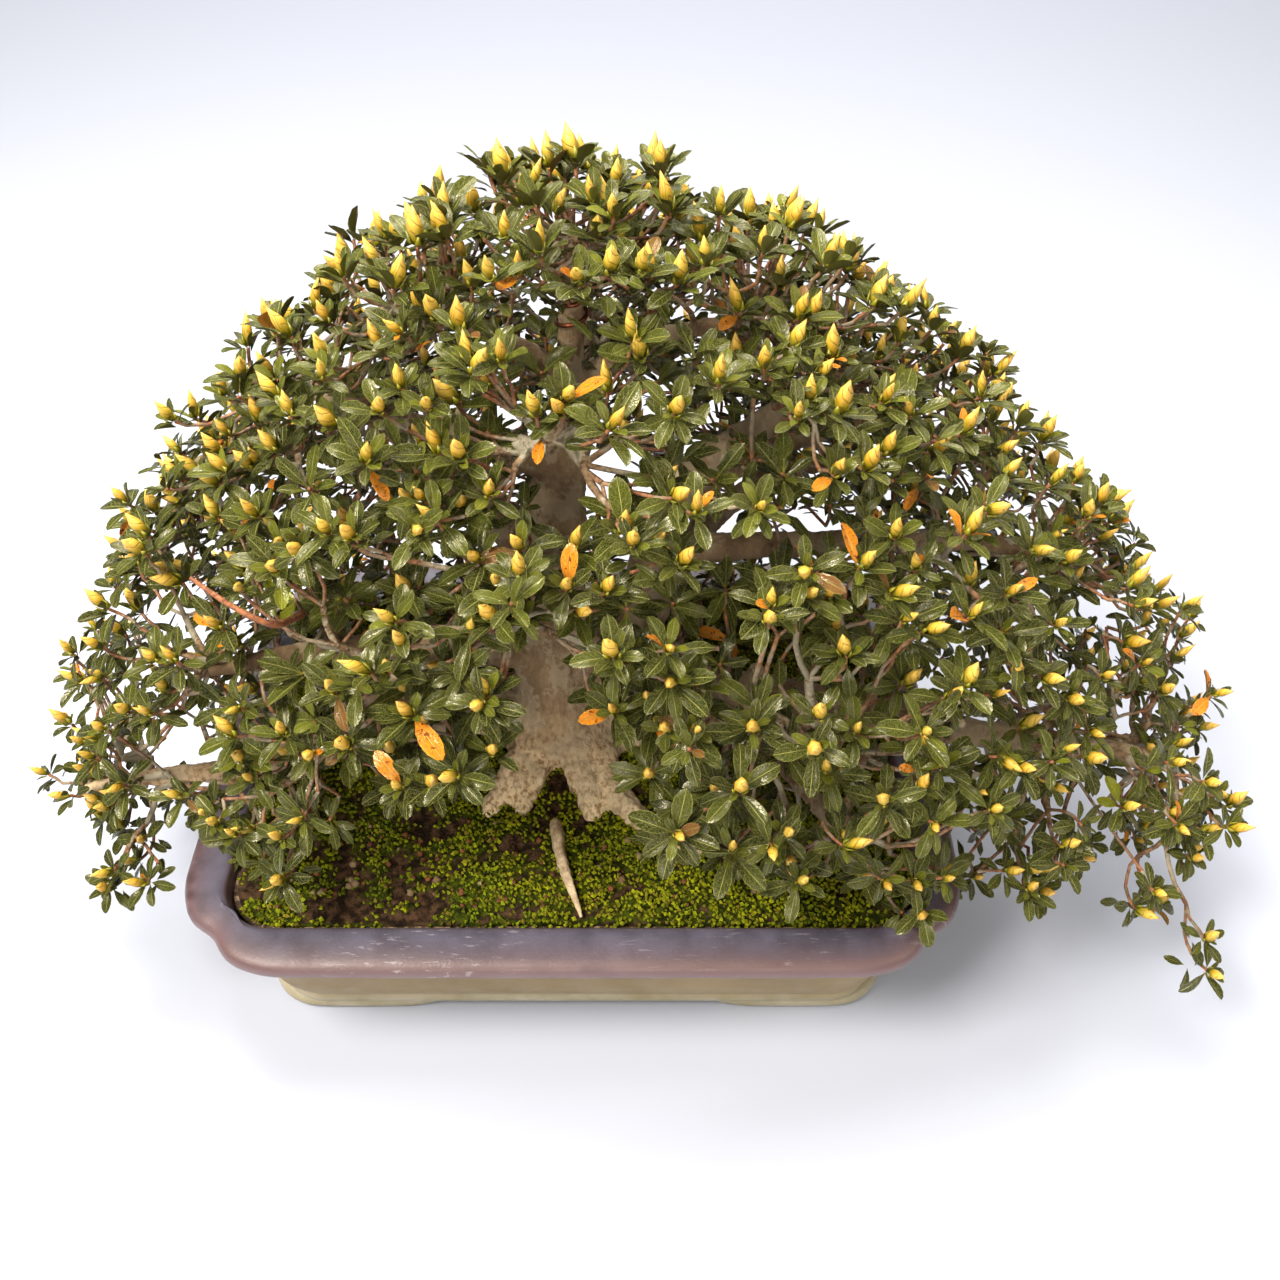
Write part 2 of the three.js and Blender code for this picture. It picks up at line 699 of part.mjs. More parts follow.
function addSpray(place, seed, rosettes) {
  const hands = [0, 1, -1].slice(0, rosettes);
  const solid = spray(new THREE.Vector3(...place), seed, hands, [pot, moss, wire]);
  if (solid) {
    const name = `spray_${String(placed.length + 1).padStart(2, "0")}`;
    placed.push(addPiece(name, solid, LEAF_GREEN));
  }
}

LOW_SPRAYS.forEach((place, i) => addSpray(place, 2000 + i, 2));
TIERS.forEach(({ z, centre, half, count, first, rosettes, open }, level) => {
  const round = new THREE.EllipseCurve(...centre, ...half, 0, Math.PI * 2, false, 0);
  for (let i = 0; i < count; i += 1) {
    const { x, y } = round.getPointAt((first + i / count) % 1);
    const hidesTrunk = open && y < centre[1] && x > open[0] && x < open[1];
    if (!hidesTrunk) {
      addSpray([x, y, z], 1000 + level * 100 + i, rosettes);
    }
  }
});

const box = new THREE.Box3().setFromObject(bonsai);
const middle = box.getCenter(new THREE.Vector3());
bonsai.position.set(-middle.x, -middle.y, -box.min.z);

export default bonsai;
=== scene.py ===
# %% [markdown]
# A satsuki azalea bonsai: a thick flared trunk with a low domed crown of small leaves and winter buds,
# growing out of moss in a shallow stoneware tray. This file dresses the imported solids: each cell makes
# one piece or one finish. Sizes are written in millimetres in the tray's own frame, as a bonsai grower
# would measure them, and at() turns them into metres in the frame of the whole model.

import json
import math

import bpy
import numpy as np
from mathutils import Euler, Matrix, Vector, kdtree, noise

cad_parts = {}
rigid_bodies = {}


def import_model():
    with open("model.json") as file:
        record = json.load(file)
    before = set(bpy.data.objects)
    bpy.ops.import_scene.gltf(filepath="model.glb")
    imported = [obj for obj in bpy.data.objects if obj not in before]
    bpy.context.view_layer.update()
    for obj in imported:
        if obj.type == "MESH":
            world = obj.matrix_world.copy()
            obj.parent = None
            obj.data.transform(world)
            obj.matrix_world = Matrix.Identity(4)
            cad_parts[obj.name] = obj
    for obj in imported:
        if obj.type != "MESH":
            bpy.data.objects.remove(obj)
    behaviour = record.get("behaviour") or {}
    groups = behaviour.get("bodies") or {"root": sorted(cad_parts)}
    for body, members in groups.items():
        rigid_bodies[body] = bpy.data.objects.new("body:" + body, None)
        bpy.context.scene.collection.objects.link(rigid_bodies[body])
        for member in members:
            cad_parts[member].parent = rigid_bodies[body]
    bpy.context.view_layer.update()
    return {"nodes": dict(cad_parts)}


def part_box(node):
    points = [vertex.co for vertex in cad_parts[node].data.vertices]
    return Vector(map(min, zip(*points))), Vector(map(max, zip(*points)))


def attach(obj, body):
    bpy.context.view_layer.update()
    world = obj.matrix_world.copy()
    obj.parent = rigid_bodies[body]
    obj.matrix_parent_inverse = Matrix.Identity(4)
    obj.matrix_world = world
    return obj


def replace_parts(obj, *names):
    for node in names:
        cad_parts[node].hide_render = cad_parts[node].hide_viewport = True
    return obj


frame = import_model()
tray_low, tray_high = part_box("pot")
TRAY_MIDDLE = np.array([(tray_low.x + tray_high.x) / 2, (tray_low.y + tray_high.y) / 2, 0.0])


def at(points):
    """Points in the tray's frame, in millimetres, as metres in the model's frame."""
    return np.asarray(points, float) * 0.001 + TRAY_MIDDLE


# %% [markdown]
# The camera stands a little over half a metre from the tree and looks down at it by 43 degrees, which is
# how a visitor sees a bonsai on a low stand. A real lens length is used, so that the tray's sides draw
# together towards the back as they would to the eye.

# %% The camera
EYE = (32.7, -473.0, 594.0)
LOOK_DOWN = 43.0
LENS, SENSOR = 36.17, 36.0
camera_data = bpy.data.cameras.new("camera")
camera_data.lens = LENS
camera_data.sensor_width = SENSOR
camera = bpy.data.objects.new("camera", camera_data)
camera.location = at(EYE)
camera.rotation_euler = (math.radians(90 - LOOK_DOWN), 0, 0)
bpy.context.scene.collection.objects.link(camera)
bpy.context.scene.camera = camera
print("camera at", [round(v, 3) for v in camera.location])

# %% [markdown]
# Four helpers do the plain work of the whole file. new_mesh() turns lists of corners and faces into a
# smooth object, put() adds one node to any node tree and fills its sockets, finished() swaps an object's
# live modifiers for the mesh that they give, and triangles() counts what a piece has cost.

# %% Helpers for meshes and nodes
def new_mesh(name, vertices, faces=(), material=None, smooth=True, edges=()):
    mesh = bpy.data.meshes.new(name)
    mesh.from_pydata([tuple(v) for v in vertices], [tuple(e) for e in edges], [tuple(f) for f in faces])
    mesh.polygons.foreach_set("use_smooth", [smooth] * len(mesh.polygons))
    if material:
        mesh.materials.append(material)
    mesh.update()
    made = bpy.data.objects.new(name, mesh)
    bpy.context.scene.collection.objects.link(made)
    return made


def put(tree, kind, inputs=None, **settings):
    """A new node. An input is either a value or another node's output, which is then linked."""
    made = tree.nodes.new(kind)
    for key, value in settings.items():
        setattr(made, key, value)
    for key, value in (inputs or {}).items():
        if isinstance(value, bpy.types.NodeSocket):
            tree.links.new(value, made.inputs[key])
        else:
            made.inputs[key].default_value = value
    return made


def finished(source, name=None):
    """The object with its modifiers applied: a plain mesh in place of the live one."""
    graph = bpy.context.evaluated_depsgraph_get()
    mesh = bpy.data.meshes.new_from_object(source.evaluated_get(graph), depsgraph=graph)
    name = name or source.name
    bpy.data.objects.remove(source)
    mesh.name = name
    made = bpy.data.objects.new(name, mesh)
    bpy.context.scene.collection.objects.link(made)
    return made


def triangles(piece):
    return sum(len(face.vertices) - 2 for face in piece.data.polygons)


print("helpers ready")

# %% [markdown]
# Finishes that several surfaces share are small node groups. "mottling" gives soft cloudy patches, as
# weather leaves on stoneware, bark and moss alike. "grain" gives the fine roughness that a bump map needs.
# "crust" gives hard-edged spots, which are lichen on bark and scuffs on the tray. A group puts out only
# masks and heights, and each material decides what they colour.

# %% Shared effects
def shader_group(name, inputs, outputs):
    tree = bpy.data.node_groups.new(name, "ShaderNodeTree")
    for label, kind, value in inputs:
        socket = tree.interface.new_socket(label, in_out="INPUT", socket_type=kind)
        if value is not None:
            socket.default_value = value
    for label in outputs:
        tree.interface.new_socket(label, in_out="OUTPUT", socket_type="NodeSocketFloat")
    return tree, tree.nodes.new("NodeGroupInput").outputs, tree.nodes.new("NodeGroupOutput").inputs


def noise_in(tree, vector, scale, detail=4.0, roughness=0.55):
    inputs = {"Vector": vector, "Scale": scale, "Detail": detail, "Roughness": roughness}
    return put(tree, "ShaderNodeTexNoise", inputs).outputs["Fac"]


def between(tree, value, low, high, to_low=0.0, to_high=1.0):
    """A value stretched so that low becomes to_low and high becomes to_high."""
    made = put(tree, "ShaderNodeMapRange", {0: value, 1: low, 2: high, 3: to_low, 4: to_high})
    return made.outputs[0]


def math_of(tree, operation, a, b=0.0, c=0.0):
    return put(tree, "ShaderNodeMath", {0: a, 1: b, 2: c}, operation=operation).outputs[0]


def times(tree, a, b):
    return math_of(tree, "MULTIPLY", a, b)


def cell_edges(tree, vector, scale):
    """How far a point lies from the borders of a net of cells."""
    inputs = {"Vector": vector, "Scale": scale}
    return put(tree, "ShaderNodeTexVoronoi", inputs, feature="DISTANCE_TO_EDGE").outputs[0]


VECTOR_AND_SCALE = [("Vector", "NodeSocketVector", None), ("Scale", "NodeSocketFloat", 100.0)]

mottling, given, put_out = shader_group(
    "mottling",
    VECTOR_AND_SCALE + [("Low", "NodeSocketFloat", 0.4), ("High", "NodeSocketFloat", 0.6)],
    ["Mask"],
)
cloud = noise_in(mottling, given["Vector"], given["Scale"])
mottling.links.new(between(mottling, cloud, given["Low"], given["High"]), put_out["Mask"])

grain, given, put_out = shader_group("grain", VECTOR_AND_SCALE, ["Height"])
fine = noise_in(grain, given["Vector"], given["Scale"], 6.0, 0.7)
cell_inputs = {"Vector": given["Vector"], "Scale": given["Scale"]}
cells = put(grain, "ShaderNodeTexVoronoi", cell_inputs).outputs["Distance"]
grain.links.new(math_of(grain, "MULTIPLY_ADD", cells, 0.4, fine), put_out["Height"])

crust, given, put_out = shader_group(
    "crust", VECTOR_AND_SCALE + [("Cover", "NodeSocketFloat", 0.4)], ["Mask"]
)
patch = noise_in(crust, given["Vector"], given["Scale"], 2.0)
ragged = noise_in(crust, given["Vector"], times(crust, given["Scale"], 7.0), 5.0, 0.7)
both = math_of(crust, "MULTIPLY_ADD", ragged, 0.45, patch)
edge = math_of(crust, "SUBTRACT", 1.0, given["Cover"])
crust.links.new(between(crust, both, edge, math_of(crust, "ADD", edge, 0.05)), put_out["Mask"])
print("shared groups:", [group.name for group in bpy.data.node_groups])

# %% [markdown]
# Every material starts the same way: a Principled surface, its own colour pattern and a bump. The helpers
# here keep each recipe down to the few lines that are its own. Colours are written as the eye reads them
# on a screen, from 0 to 255, and seen() turns them into the linear values that the renderer works in.

# %% Helpers for materials
STRAIGHT_BELOW = 0.0392  # the screen's curve of brightness starts with a straight foot


def seen(red, green, blue):
    """A screen colour as the linear colour that a shader needs."""
    shares = [v / 255 for v in (red, green, blue)]
    linear = [v / 12.92 if v < STRAIGHT_BELOW else ((v + 0.055) / 1.055) ** 2.4 for v in shares]
    return (*linear, 1.0)


def group_in(tree, group, output, **inputs):
    """One output of a shared effect, placed in a material with values of its own."""
    made = tree.nodes.new("ShaderNodeGroup")
    made.node_tree = group
    for key, value in inputs.items():
        if isinstance(value, bpy.types.NodeSocket):
            tree.links.new(value, made.inputs[key])
        else:
            made.inputs[key].default_value = value
    return made.outputs[output]


def cloudy(tree, place, scale, low=0.4, high=0.6):
    return group_in(tree, mottling, "Mask", Vector=place, Scale=scale, Low=low, High=high)


def crusty(tree, place, scale, cover):
    return group_in(tree, crust, "Mask", Vector=place, Scale=scale, Cover=cover)


def mixed(tree, mask, a, b):
    return put(tree, "ShaderNodeMix", {0: mask, 6: a, 7: b}, data_type="RGBA").outputs[2]


def named(tree, name, output="Fac"):
    return put(tree, "ShaderNodeAttribute", attribute_name=name).outputs[output]


def new_material(name, roughness, **constants):
    material = bpy.data.materials.new(name)
    material.use_nodes = True
    tree = material.node_tree
    surface = next(n for n in tree.nodes if n.type == "BSDF_PRINCIPLED")
    surface.inputs["Roughness"].default_value = roughness
    for key, value in constants.items():
        surface.inputs[key.replace("_", " ")].default_value = value
    place = put(tree, "ShaderNodeTexCoord").outputs["Object"]
    return material, tree, surface.inputs, place


def coloured(tree, surface, colour):
    tree.links.new(colour, surface["Base Color"])


def bumped(tree, surface, height, distance, strength=1.0):
    bump = put(tree, "ShaderNodeBump", {"Height": height, "Distance": distance, "Strength": strength})
    tree.links.new(bump.outputs["Normal"], surface["Normal"])


def grained(tree, surface, place, scale, distance, strength=1.0):
    height = group_in(tree, grain, "Height", Vector=place, Scale=scale)
    bumped(tree, surface, height, distance, strength)


print("material helpers ready")

# %% [markdown]
# The tray is unglazed stoneware, burnished by years of handling. Its lip has gone mauve-grey, with a
# bluish sheen painted on its inside, while the wall under it stays khaki and its feet are paler still. One
# material reads the height of each point and blends the three, with mottling to keep the borders from
# being straight. A pale band painted along the lip's outer edge is a painted highlight, and a few pale
# scuffs lie on the lip.

# %% Stoneware
# heights in metres between which one tone of the ware turns into the next
FOOT_LINE, LIP_LINE = (0.016, 0.028), (0.0735, 0.0765)
LIP_HIGHLIGHT, LIP_TOP = (0.0812, 0.0772), (0.083, 0.0852)
stoneware, tree, surface, place = new_material("stoneware", 0.5)
height = put(tree, "ShaderNodeSeparateXYZ", {0: place}).outputs["Z"]
wander = cloudy(tree, place, 22.0, 0.3, 0.7)
stain = cloudy(tree, place, 60.0, 0.35, 0.7)
lip = mixed(tree, stain, seen(112, 88, 90), seen(81, 62, 67))
lip = mixed(tree, cloudy(tree, place, 9.0), lip, seen(93, 71, 71))
wall = mixed(tree, wander, seen(119, 99, 57), seen(142, 121, 82))
foot = mixed(tree, stain, seen(160, 151, 129), seen(134, 125, 95))
rise = math_of(tree, "MULTIPLY_ADD", wander, 0.006, height)
low_part = mixed(tree, between(tree, rise, *FOOT_LINE), foot, wall)
# a paler band along the lip's outer edge: a painted highlight
lip = mixed(tree, between(tree, height, *LIP_HIGHLIGHT, 0.0, 0.5), lip, seen(133, 112, 115))
ware = mixed(tree, between(tree, rise, *LIP_LINE), low_part, lip)
# a bluish painted sheen on the lip's inner slope: a reflection painted into the colour
painted_sheen = times(tree, between(tree, height, *LIP_TOP), 0.85)
ware = mixed(tree, painted_sheen, ware, mixed(tree, stain, seen(88, 90, 108), seen(52, 54, 70)))
stretch = {"Vector": place, "Rotation": (0, 0, 0.5), "Scale": (1.0, 5.5, 1.0)}
stretched = put(tree, "ShaderNodeMapping", stretch).outputs[0]
scuff = crusty(tree, stretched, 120.0, 0.15)
rubbed = cloudy(tree, place, 13.0, 0.48, 0.62)
rubbed = times(tree, rubbed, between(tree, height, *LIP_LINE))
faint = times(tree, times(tree, scuff, rubbed), 0.32)
coloured(tree, surface, mixed(tree, faint, ware, seen(190, 182, 190)))
tree.links.new(between(tree, stain, 0.0, 1.0, 0.34, 0.55), surface["Roughness"])
grained(tree, surface, place, 700.0, 0.00025, 0.5)
print("stoneware ready")

# %% [markdown]
# Bark on an old azalea is thin and smooth, taupe with paler flakes. Painted shade darkens it where the
# crown shades it, and painted light makes the low root spread pale tan. Twigs start red-brown and turn
# grey, so their material reads an "age" value stored on the twig. Lichen crusts both.

# %% Bark, twigs and dead wood
LIT_LOW, SHADED = (0.124, 0.094), (0.108, 0.145)  # heights in metres over which each one sets in
bark, tree, surface, place = new_material("bark", 0.82)
height = put(tree, "ShaderNodeSeparateXYZ", {0: place}).outputs["Z"]
streaky = put(tree, "ShaderNodeMapping", {"Vector": place, "Scale": (1.0, 1.0, 0.45)}).outputs[0]
patches = cloudy(tree, streaky, 90.0, 0.3, 0.7)
flakes = cloudy(tree, streaky, 420.0, 0.46, 0.64)
tone = mixed(tree, patches, seen(142, 110, 76), seen(188, 160, 122))
tone = mixed(tree, times(tree, flakes, 0.6), tone, seen(92, 68, 44))
# painted light: the low root spread is made pale tan, nearly white in places, as if lit from the front
painted_light_low = times(tree, between(tree, height, *LIT_LOW), 0.85)
tone = mixed(tree, painted_light_low, tone, mixed(tree, flakes, seen(255, 228, 184), seen(172, 132, 88)))
# painted shade: the trunk is darker under the crown
shaded = times(tree, between(tree, height, *SHADED), 0.8)
tone = mixed(tree, shaded, tone, mixed(tree, patches, seen(92, 70, 46), seen(142, 116, 84)))
lichen = crusty(tree, place, 48.0, 0.3)
tone = mixed(tree, times(tree, lichen, 0.4), tone, seen(184, 168, 138))
pale_cut = mixed(tree, flakes, seen(226, 206, 166), seen(196, 170, 126))
tone = mixed(tree, named(tree, "cut"), tone, pale_cut)
coloured(tree, surface, tone)
grained(tree, surface, streaky, 230.0, 0.0024)

twig_bark, tree, surface, place = new_material("twig_bark", 0.7)
fleck = cloudy(tree, place, 420.0, 0.4, 0.65)
young_bark = mixed(tree, fleck, seen(158, 98, 58), seen(108, 62, 36))
old_bark = mixed(tree, fleck, seen(146, 118, 84), seen(88, 64, 42))
tone = mixed(tree, named(tree, "age"), young_bark, old_bark)
lichen = crusty(tree, place, 70.0, 0.32)
crusted = times(tree, lichen, named(tree, "age"))
coloured(tree, surface, mixed(tree, crusted, tone, seen(158, 148, 124)))
bumped(tree, surface, fleck, 0.0005)

pale_wood, tree, surface, place = new_material("pale_dead_wood", 0.75)
fleck = cloudy(tree, place, 240.0, 0.38, 0.66)
cracks = cell_edges(tree, place, 260.0)
tone = mixed(tree, fleck, seen(206, 184, 150), seen(164, 138, 106))
tone = mixed(tree, between(tree, cracks, 0.0, 0.05, 0.6, 0.0), tone, seen(84, 66, 52))
coloured(tree, surface, tone)
bumped(tree, surface, cracks, 0.0006)
print("woods ready")

# %% [markdown]
# A satsuki leaf is dark, leathery and glossy above, with a paler midrib, slanting veins and a fine net
# between them, a thin pale margin and a dull pale underside. All of that lies at fixed places on the leaf,
# so it is drawn on the leaf's own UV map: U runs across the blade and V along it, and the underside's V is
# one higher. Lines at even steps of V, slanted by the distance from the midrib, give the veins.

# %% Leaf veins
veins, given, put_out = shader_group(
    "leaf_veins", [("UV", "NodeSocketVector", None)], ["Veins", "Margin", "Under", "Stalk"]
)
parts = put(veins, "ShaderNodeSeparateXYZ", {0: given["UV"]}).outputs
side = math_of(veins, "ABSOLUTE", math_of(veins, "MULTIPLY_ADD", parts["X"], 2.0, -1.0))
net_place = put(veins, "ShaderNodeMapping", {"Vector": given["UV"], "Scale": (3.2, 7.4, 1.0)}).outputs[0]
net = cell_edges(veins, net_place, 2.9)
net = between(veins, net, 0.01, 0.09, 1.0, 0.0)
rib = between(veins, side, 0.02, 0.1, 1.0, 0.0)
slanted = math_of(veins, "MULTIPLY_ADD", parts["Y"], 7.0, times(veins, side, -1.7))
stripe = math_of(veins, "ABSOLUTE", math_of(veins, "SUBTRACT", math_of(veins, "FRACT", slanted), 0.5))
stripe = between(veins, stripe, 0.02, 0.08, 0.55, 0.0)
lines = math_of(veins, "MAXIMUM", rib, math_of(veins, "MAXIMUM", stripe, times(veins, net, 0.75)))
veins.links.new(lines, put_out["Veins"])
veins.links.new(between(veins, side, 0.9, 0.99), put_out["Margin"])
veins.links.new(math_of(veins, "GREATER_THAN", parts["Y"], 1.0), put_out["Under"])
veins.links.new(between(veins, parts["Y"], 0.05, 0.2, 1.0, 0.0), put_out["Stalk"])
print("vein pattern ready")

# %% [markdown]
# The blade's own colour comes from a value stored on each leaf, which lets a few leaves be young green or
# old orange, and the veins and the margin are laid over it. The same lines are pressed into the surface by
# the bump, so that they break up the gloss. A bud's scales are drawn on its UV map too: the seams wind up
# it in a spiral, and its colour runs from a green foot to gold, with a painted highlight that makes its
# upper part pale gold, and an orange-brown tip.

# %% Leaf and bud finishes
LEAF_SHEEN = {"Specular_IOR_Level": 0.55, "Specular_Tint": (1.0, 0.94, 0.74, 1.0)}
leaf_green, tree, surface, place = new_material("leaf", 0.36, **LEAF_SHEEN)
uv = put(tree, "ShaderNodeTexCoord").outputs["UV"]
blade = named(tree, "blade", "Color")
pattern = tree.nodes.new("ShaderNodeGroup")
pattern.node_tree = veins
tree.links.new(uv, pattern.inputs["UV"])
blotch = cloudy(tree, place, 330.0, 0.35, 0.7)
tone = mixed(tree, times(tree, blotch, 0.12), blade, seen(104, 110, 40))
tone = mixed(tree, times(tree, pattern.outputs["Veins"], 0.6), tone, seen(178, 176, 98))
tone = mixed(tree, times(tree, pattern.outputs["Margin"], 0.45), tone, seen(180, 178, 100))
tone = mixed(tree, times(tree, pattern.outputs["Stalk"], 0.7), tone, seen(134, 128, 34))
back = mixed(tree, 0.5, blade, seen(116, 112, 44))
tone = mixed(tree, pattern.outputs["Under"], tone, back)
spots = crusty(tree, place, 420.0, 0.16)
spotted = times(tree, spots, named(tree, "old"))
coloured(tree, surface, mixed(tree, spotted, tone, seen(124, 52, 20)))
upper = between(tree, blotch, 0.0, 1.0, 0.18, 0.32)
dulled = math_of(tree, "MULTIPLY_ADD", pattern.outputs["Under"], 0.3, upper)
tree.links.new(dulled, surface["Roughness"])
bumped(tree, surface, times(tree, pattern.outputs["Veins"], -1.0), 0.0005)

bud_skin, tree, surface, place = new_material("bud_scales", 0.45)
parts = put(tree, "ShaderNodeSeparateXYZ", {0: put(tree, "ShaderNodeTexCoord").outputs["UV"]}).outputs
ripe = named(tree, "ripe")
fleck = cloudy(tree, place, 360.0, 0.35, 0.7)
gold = mixed(tree, ripe, seen(232, 188, 62), seen(216, 154, 30))
gold = mixed(tree, times(tree, fleck, 0.35), gold, seen(178, 138, 34))
# the paler upper part of the bud: a painted highlight
gold = mixed(tree, between(tree, parts["Y"], 0.4, 0.85, 0.0, 0.55), gold, seen(240, 204, 108))
gold = mixed(tree, between(tree, parts["Y"], 0.85, 1.0, 0.0, 0.6), gold, seen(196, 122, 40))
green_foot = mixed(tree, fleck, seen(96, 98, 4), seen(146, 136, 14))
tone = mixed(tree, between(tree, parts["Y"], 0.16, 0.7), green_foot, gold)
turn = math_of(tree, "MULTIPLY_ADD", parts["X"], 3.0, times(tree, parts["Y"], 3.4))
seam = math_of(tree, "ABSOLUTE", math_of(tree, "SUBTRACT", math_of(tree, "FRACT", turn), 0.5))
seam = between(tree, seam, 0.0, 0.1, 1.0, 0.0)
tone = mixed(tree, times(tree, seam, 0.5), tone, seen(112, 84, 10))
coloured(tree, surface, tone)
bumped(tree, surface, times(tree, seam, -1.0), 0.0003)
print("leaf and bud finishes ready")

# %% [markdown]
# The tray is lofted: one rounded outline is drawn at each height of its profile and neighbouring outlines
# are joined by faces. Lathes can't make it, because it is a rectangle, and its corners are nicked inwards
# on the diagonal. The wall, the lip and the inside each have an outline of their own, and a row of the
# profile says how far that outline is set out or in at one height. Subdivision then rounds the lip and
# softens every arris, as a slip-wiped clay edge is.

# %% The tray's outline
NICK_SPREAD = 10.0  # degrees to either side of the corner's diagonal
CORNER_STEPS = 16


def tray_ring(half_x, half_y, radius, nick, z, steps=CORNER_STEPS):
    ring = []
    for corner, (sx, sy) in enumerate(((1, 1), (-1, 1), (-1, -1), (1, -1))):
        for step in range(steps + 1):
            turn = (corner + step / steps) * math.pi / 2
            off = (step / steps - 0.5) * 90 / NICK_SPREAD
            reach = radius - nick * math.exp(-off * off)
            x = sx * (half_x - radius) + math.cos(turn) * reach
            y = sy * (half_y - radius) + math.sin(turn) * reach
            ring.append((x, y, z))
    return ring


def loft(rings):
    """The corners and faces of a closed skin over a row of rings, with a fan of faces at each end."""
    count = len(rings[0])
    vertices = [p for ring in rings for p in ring]
    faces = [
        (r * count + i, r * count + (i + 1) % count, (r + 1) * count + (i + 1) % count, (r + 1) * count + i)
        for r in range(len(rings) - 1)
        for i in range(count)
    ]
    for ring, flip in ((0, True), (len(rings) - 1, False)):
        vertices.append(tuple(np.mean(rings[ring], axis=0)))
        for i in range(count):
            a, b = ring * count + i, ring * count + (i + 1) % count
            faces.append((len(vertices) - 1, b, a) if flip else (len(vertices) - 1, a, b))
    return vertices, faces


def lofted(name, rings, material=None):
    vertices, faces = loft(rings)
    return new_mesh(name, at(vertices), faces, material)


# each outline's half length and half depth, the radius of its corners and the depth of their nicks, in mm
LIP, WALL, INSIDE = (190, 146.5, 60, 5), (160, 118, 34, 3), (167, 123.5, 27, 0)


def lip_ring(inset, z):
    half_x, half_y, radius, nick = LIP
    return tray_ring(half_x - inset, half_y - inset, radius - inset, nick, z)


def wall_ring(outset, z):
    half_x, half_y, radius, nick = WALL
    return tray_ring(half_x + outset, half_y + outset, radius + outset, nick, z)


def inner_ring(inset, z, steps=CORNER_STEPS):
    half_x, half_y, radius, nick = INSIDE
    return tray_ring(half_x - inset, half_y - inset, radius, nick, z, steps)


# the tray's section from its underside up the wall, over the lip and down the inside: how far each ring is
# set out or in, and its height
WALL_ROWS = [
    (-24, 9), (-3.5, 9), (-1, 9.4), (0.4, 11), (0.8, 14.6), (0, 16.2), (-0.8, 17), (0.4, 18.2), (4.6, 25),
    (8, 36), (10.4, 50), (12, 64), (12.8, 72.4), (15, 73.6),
]
LIP_ROWS = [(5.5, 73.3), (2.2, 73.8), (0.5, 75.6), (0, 78.4), (0.6, 81), (3, 83.2), (9, 84.4), (17, 85.1)]
INNER_ROWS = [(-2.4, 85), (-0.4, 84.2), (0.3, 82), (4, 52), (9, 24), (12, 18.4), (17, 17)]
profile = [wall_ring(*row) for row in WALL_ROWS]
profile += [lip_ring(*row) for row in LIP_ROWS] + [inner_ring(*row) for row in INNER_ROWS]
vertices, faces = loft(profile)
print("tray profile rings:", len(profile))

# %% [markdown]
# Four cloud-shaped feet carry the tray, each an L under a corner whose arms are cut back in a curve. They
# are lofted like the wall. The two drain holes are drilled with a Boolean, which keeps the floor flat
# round them.

# %% Feet, holes and the finished tray
FOOT_ROWS = [
    (75, 43, 4.5, 0), (74, 42, 3, 0.8), (72.5, 40.5, 1.2, 3.5), (69, 37, 0.8, 6), (62, 30, 1.6, 8.6),
    (58, 26, 2.5, 10),
]  # where the arm along the tray and the arm across it end, how far the foot is set in, and the height
FOOT_WIDE, FOOT_ROUND = 17, 26
DRAIN_X, DRAIN_RADIUS = 78, 11


def foot_rings(sign_x, sign_y):
    rings = []
    for arm_x, arm_y, inset, z in FOOT_ROWS:
        hx, hy = WALL[0] - inset, WALL[1] - inset
        in_x, in_y = hx - FOOT_WIDE, hy - FOOT_WIDE
        points = [(arm_x, in_y), (arm_x + 30, in_y), (in_x, in_y), (in_x, arm_y + 22), (in_x, arm_y)]
        points += [(hx - 8, arm_y), (hx, arm_y), (hx, arm_y + 22)]
        for turn in np.linspace(0, math.pi / 2, 7):
            x = hx - FOOT_ROUND + math.cos(turn) * FOOT_ROUND
            y = hy - FOOT_ROUND + math.sin(turn) * FOOT_ROUND
            points.append((x, y))
        points += [(arm_x + 30, hy), (arm_x, hy), (arm_x, hy - 8)]
        ring = [(sign_x * x, sign_y * y, z) for x, y in points]
        rings.append(ring if sign_x * sign_y > 0 else ring[::-1])
    return rings


for sign_x in (-1, 1):
    for sign_y in (-1, 1):
        more, more_faces = loft(foot_rings(sign_x, sign_y))
        faces += [tuple(i + len(vertices) for i in face) for face in more_faces]
        vertices = vertices + more
tray = new_mesh("tray", at(vertices), faces, stoneware)
tray.modifiers.new("soft_arris", "SUBSURF").levels = 1
tray.modifiers["soft_arris"].render_levels = 1
for sign_x in (-1, 1):
    circle = []
    for turn in np.linspace(0, math.tau, 33)[:-1]:
        circle.append((sign_x * DRAIN_X + DRAIN_RADIUS * math.cos(turn), DRAIN_RADIUS * math.sin(turn)))
    drill = lofted("drill", [[(x, y, z) for x, y in circle] for z in (3, 30)])
    cut = tray.modifiers.new("drain_hole", "BOOLEAN")
    cut.operation, cut.object, cut.solver = "DIFFERENCE", drill, "EXACT"
tray = finished(tray)
for drill in [o for o in bpy.data.objects if o.name.startswith("drill")]:
    bpy.data.objects.remove(drill)
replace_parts(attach(tray, "root"), "pot")
print("tray triangles:", triangles(tray))

# %% [markdown]
# The soil is a dark mound, highest round the trunk. It is built as rings shrinking from the tray's edge to
# the middle, so that the edge meets the tray exactly and the crumb gets finer towards nothing. The crumb
# itself is noise added to each point's height.

# %% Soil
def soil_height(x, y):
    dx, dy = (x + 5) / 95, (y + 15) / 70
    return 78 + 13 * np.exp(-(dx * dx + dy * dy))


BED_POINTS = 150
SOIL_RINGS, MOSS_RINGS = 32, 56
SHRUNK = 0.97  # the share by which the innermost ring is smaller than the edge


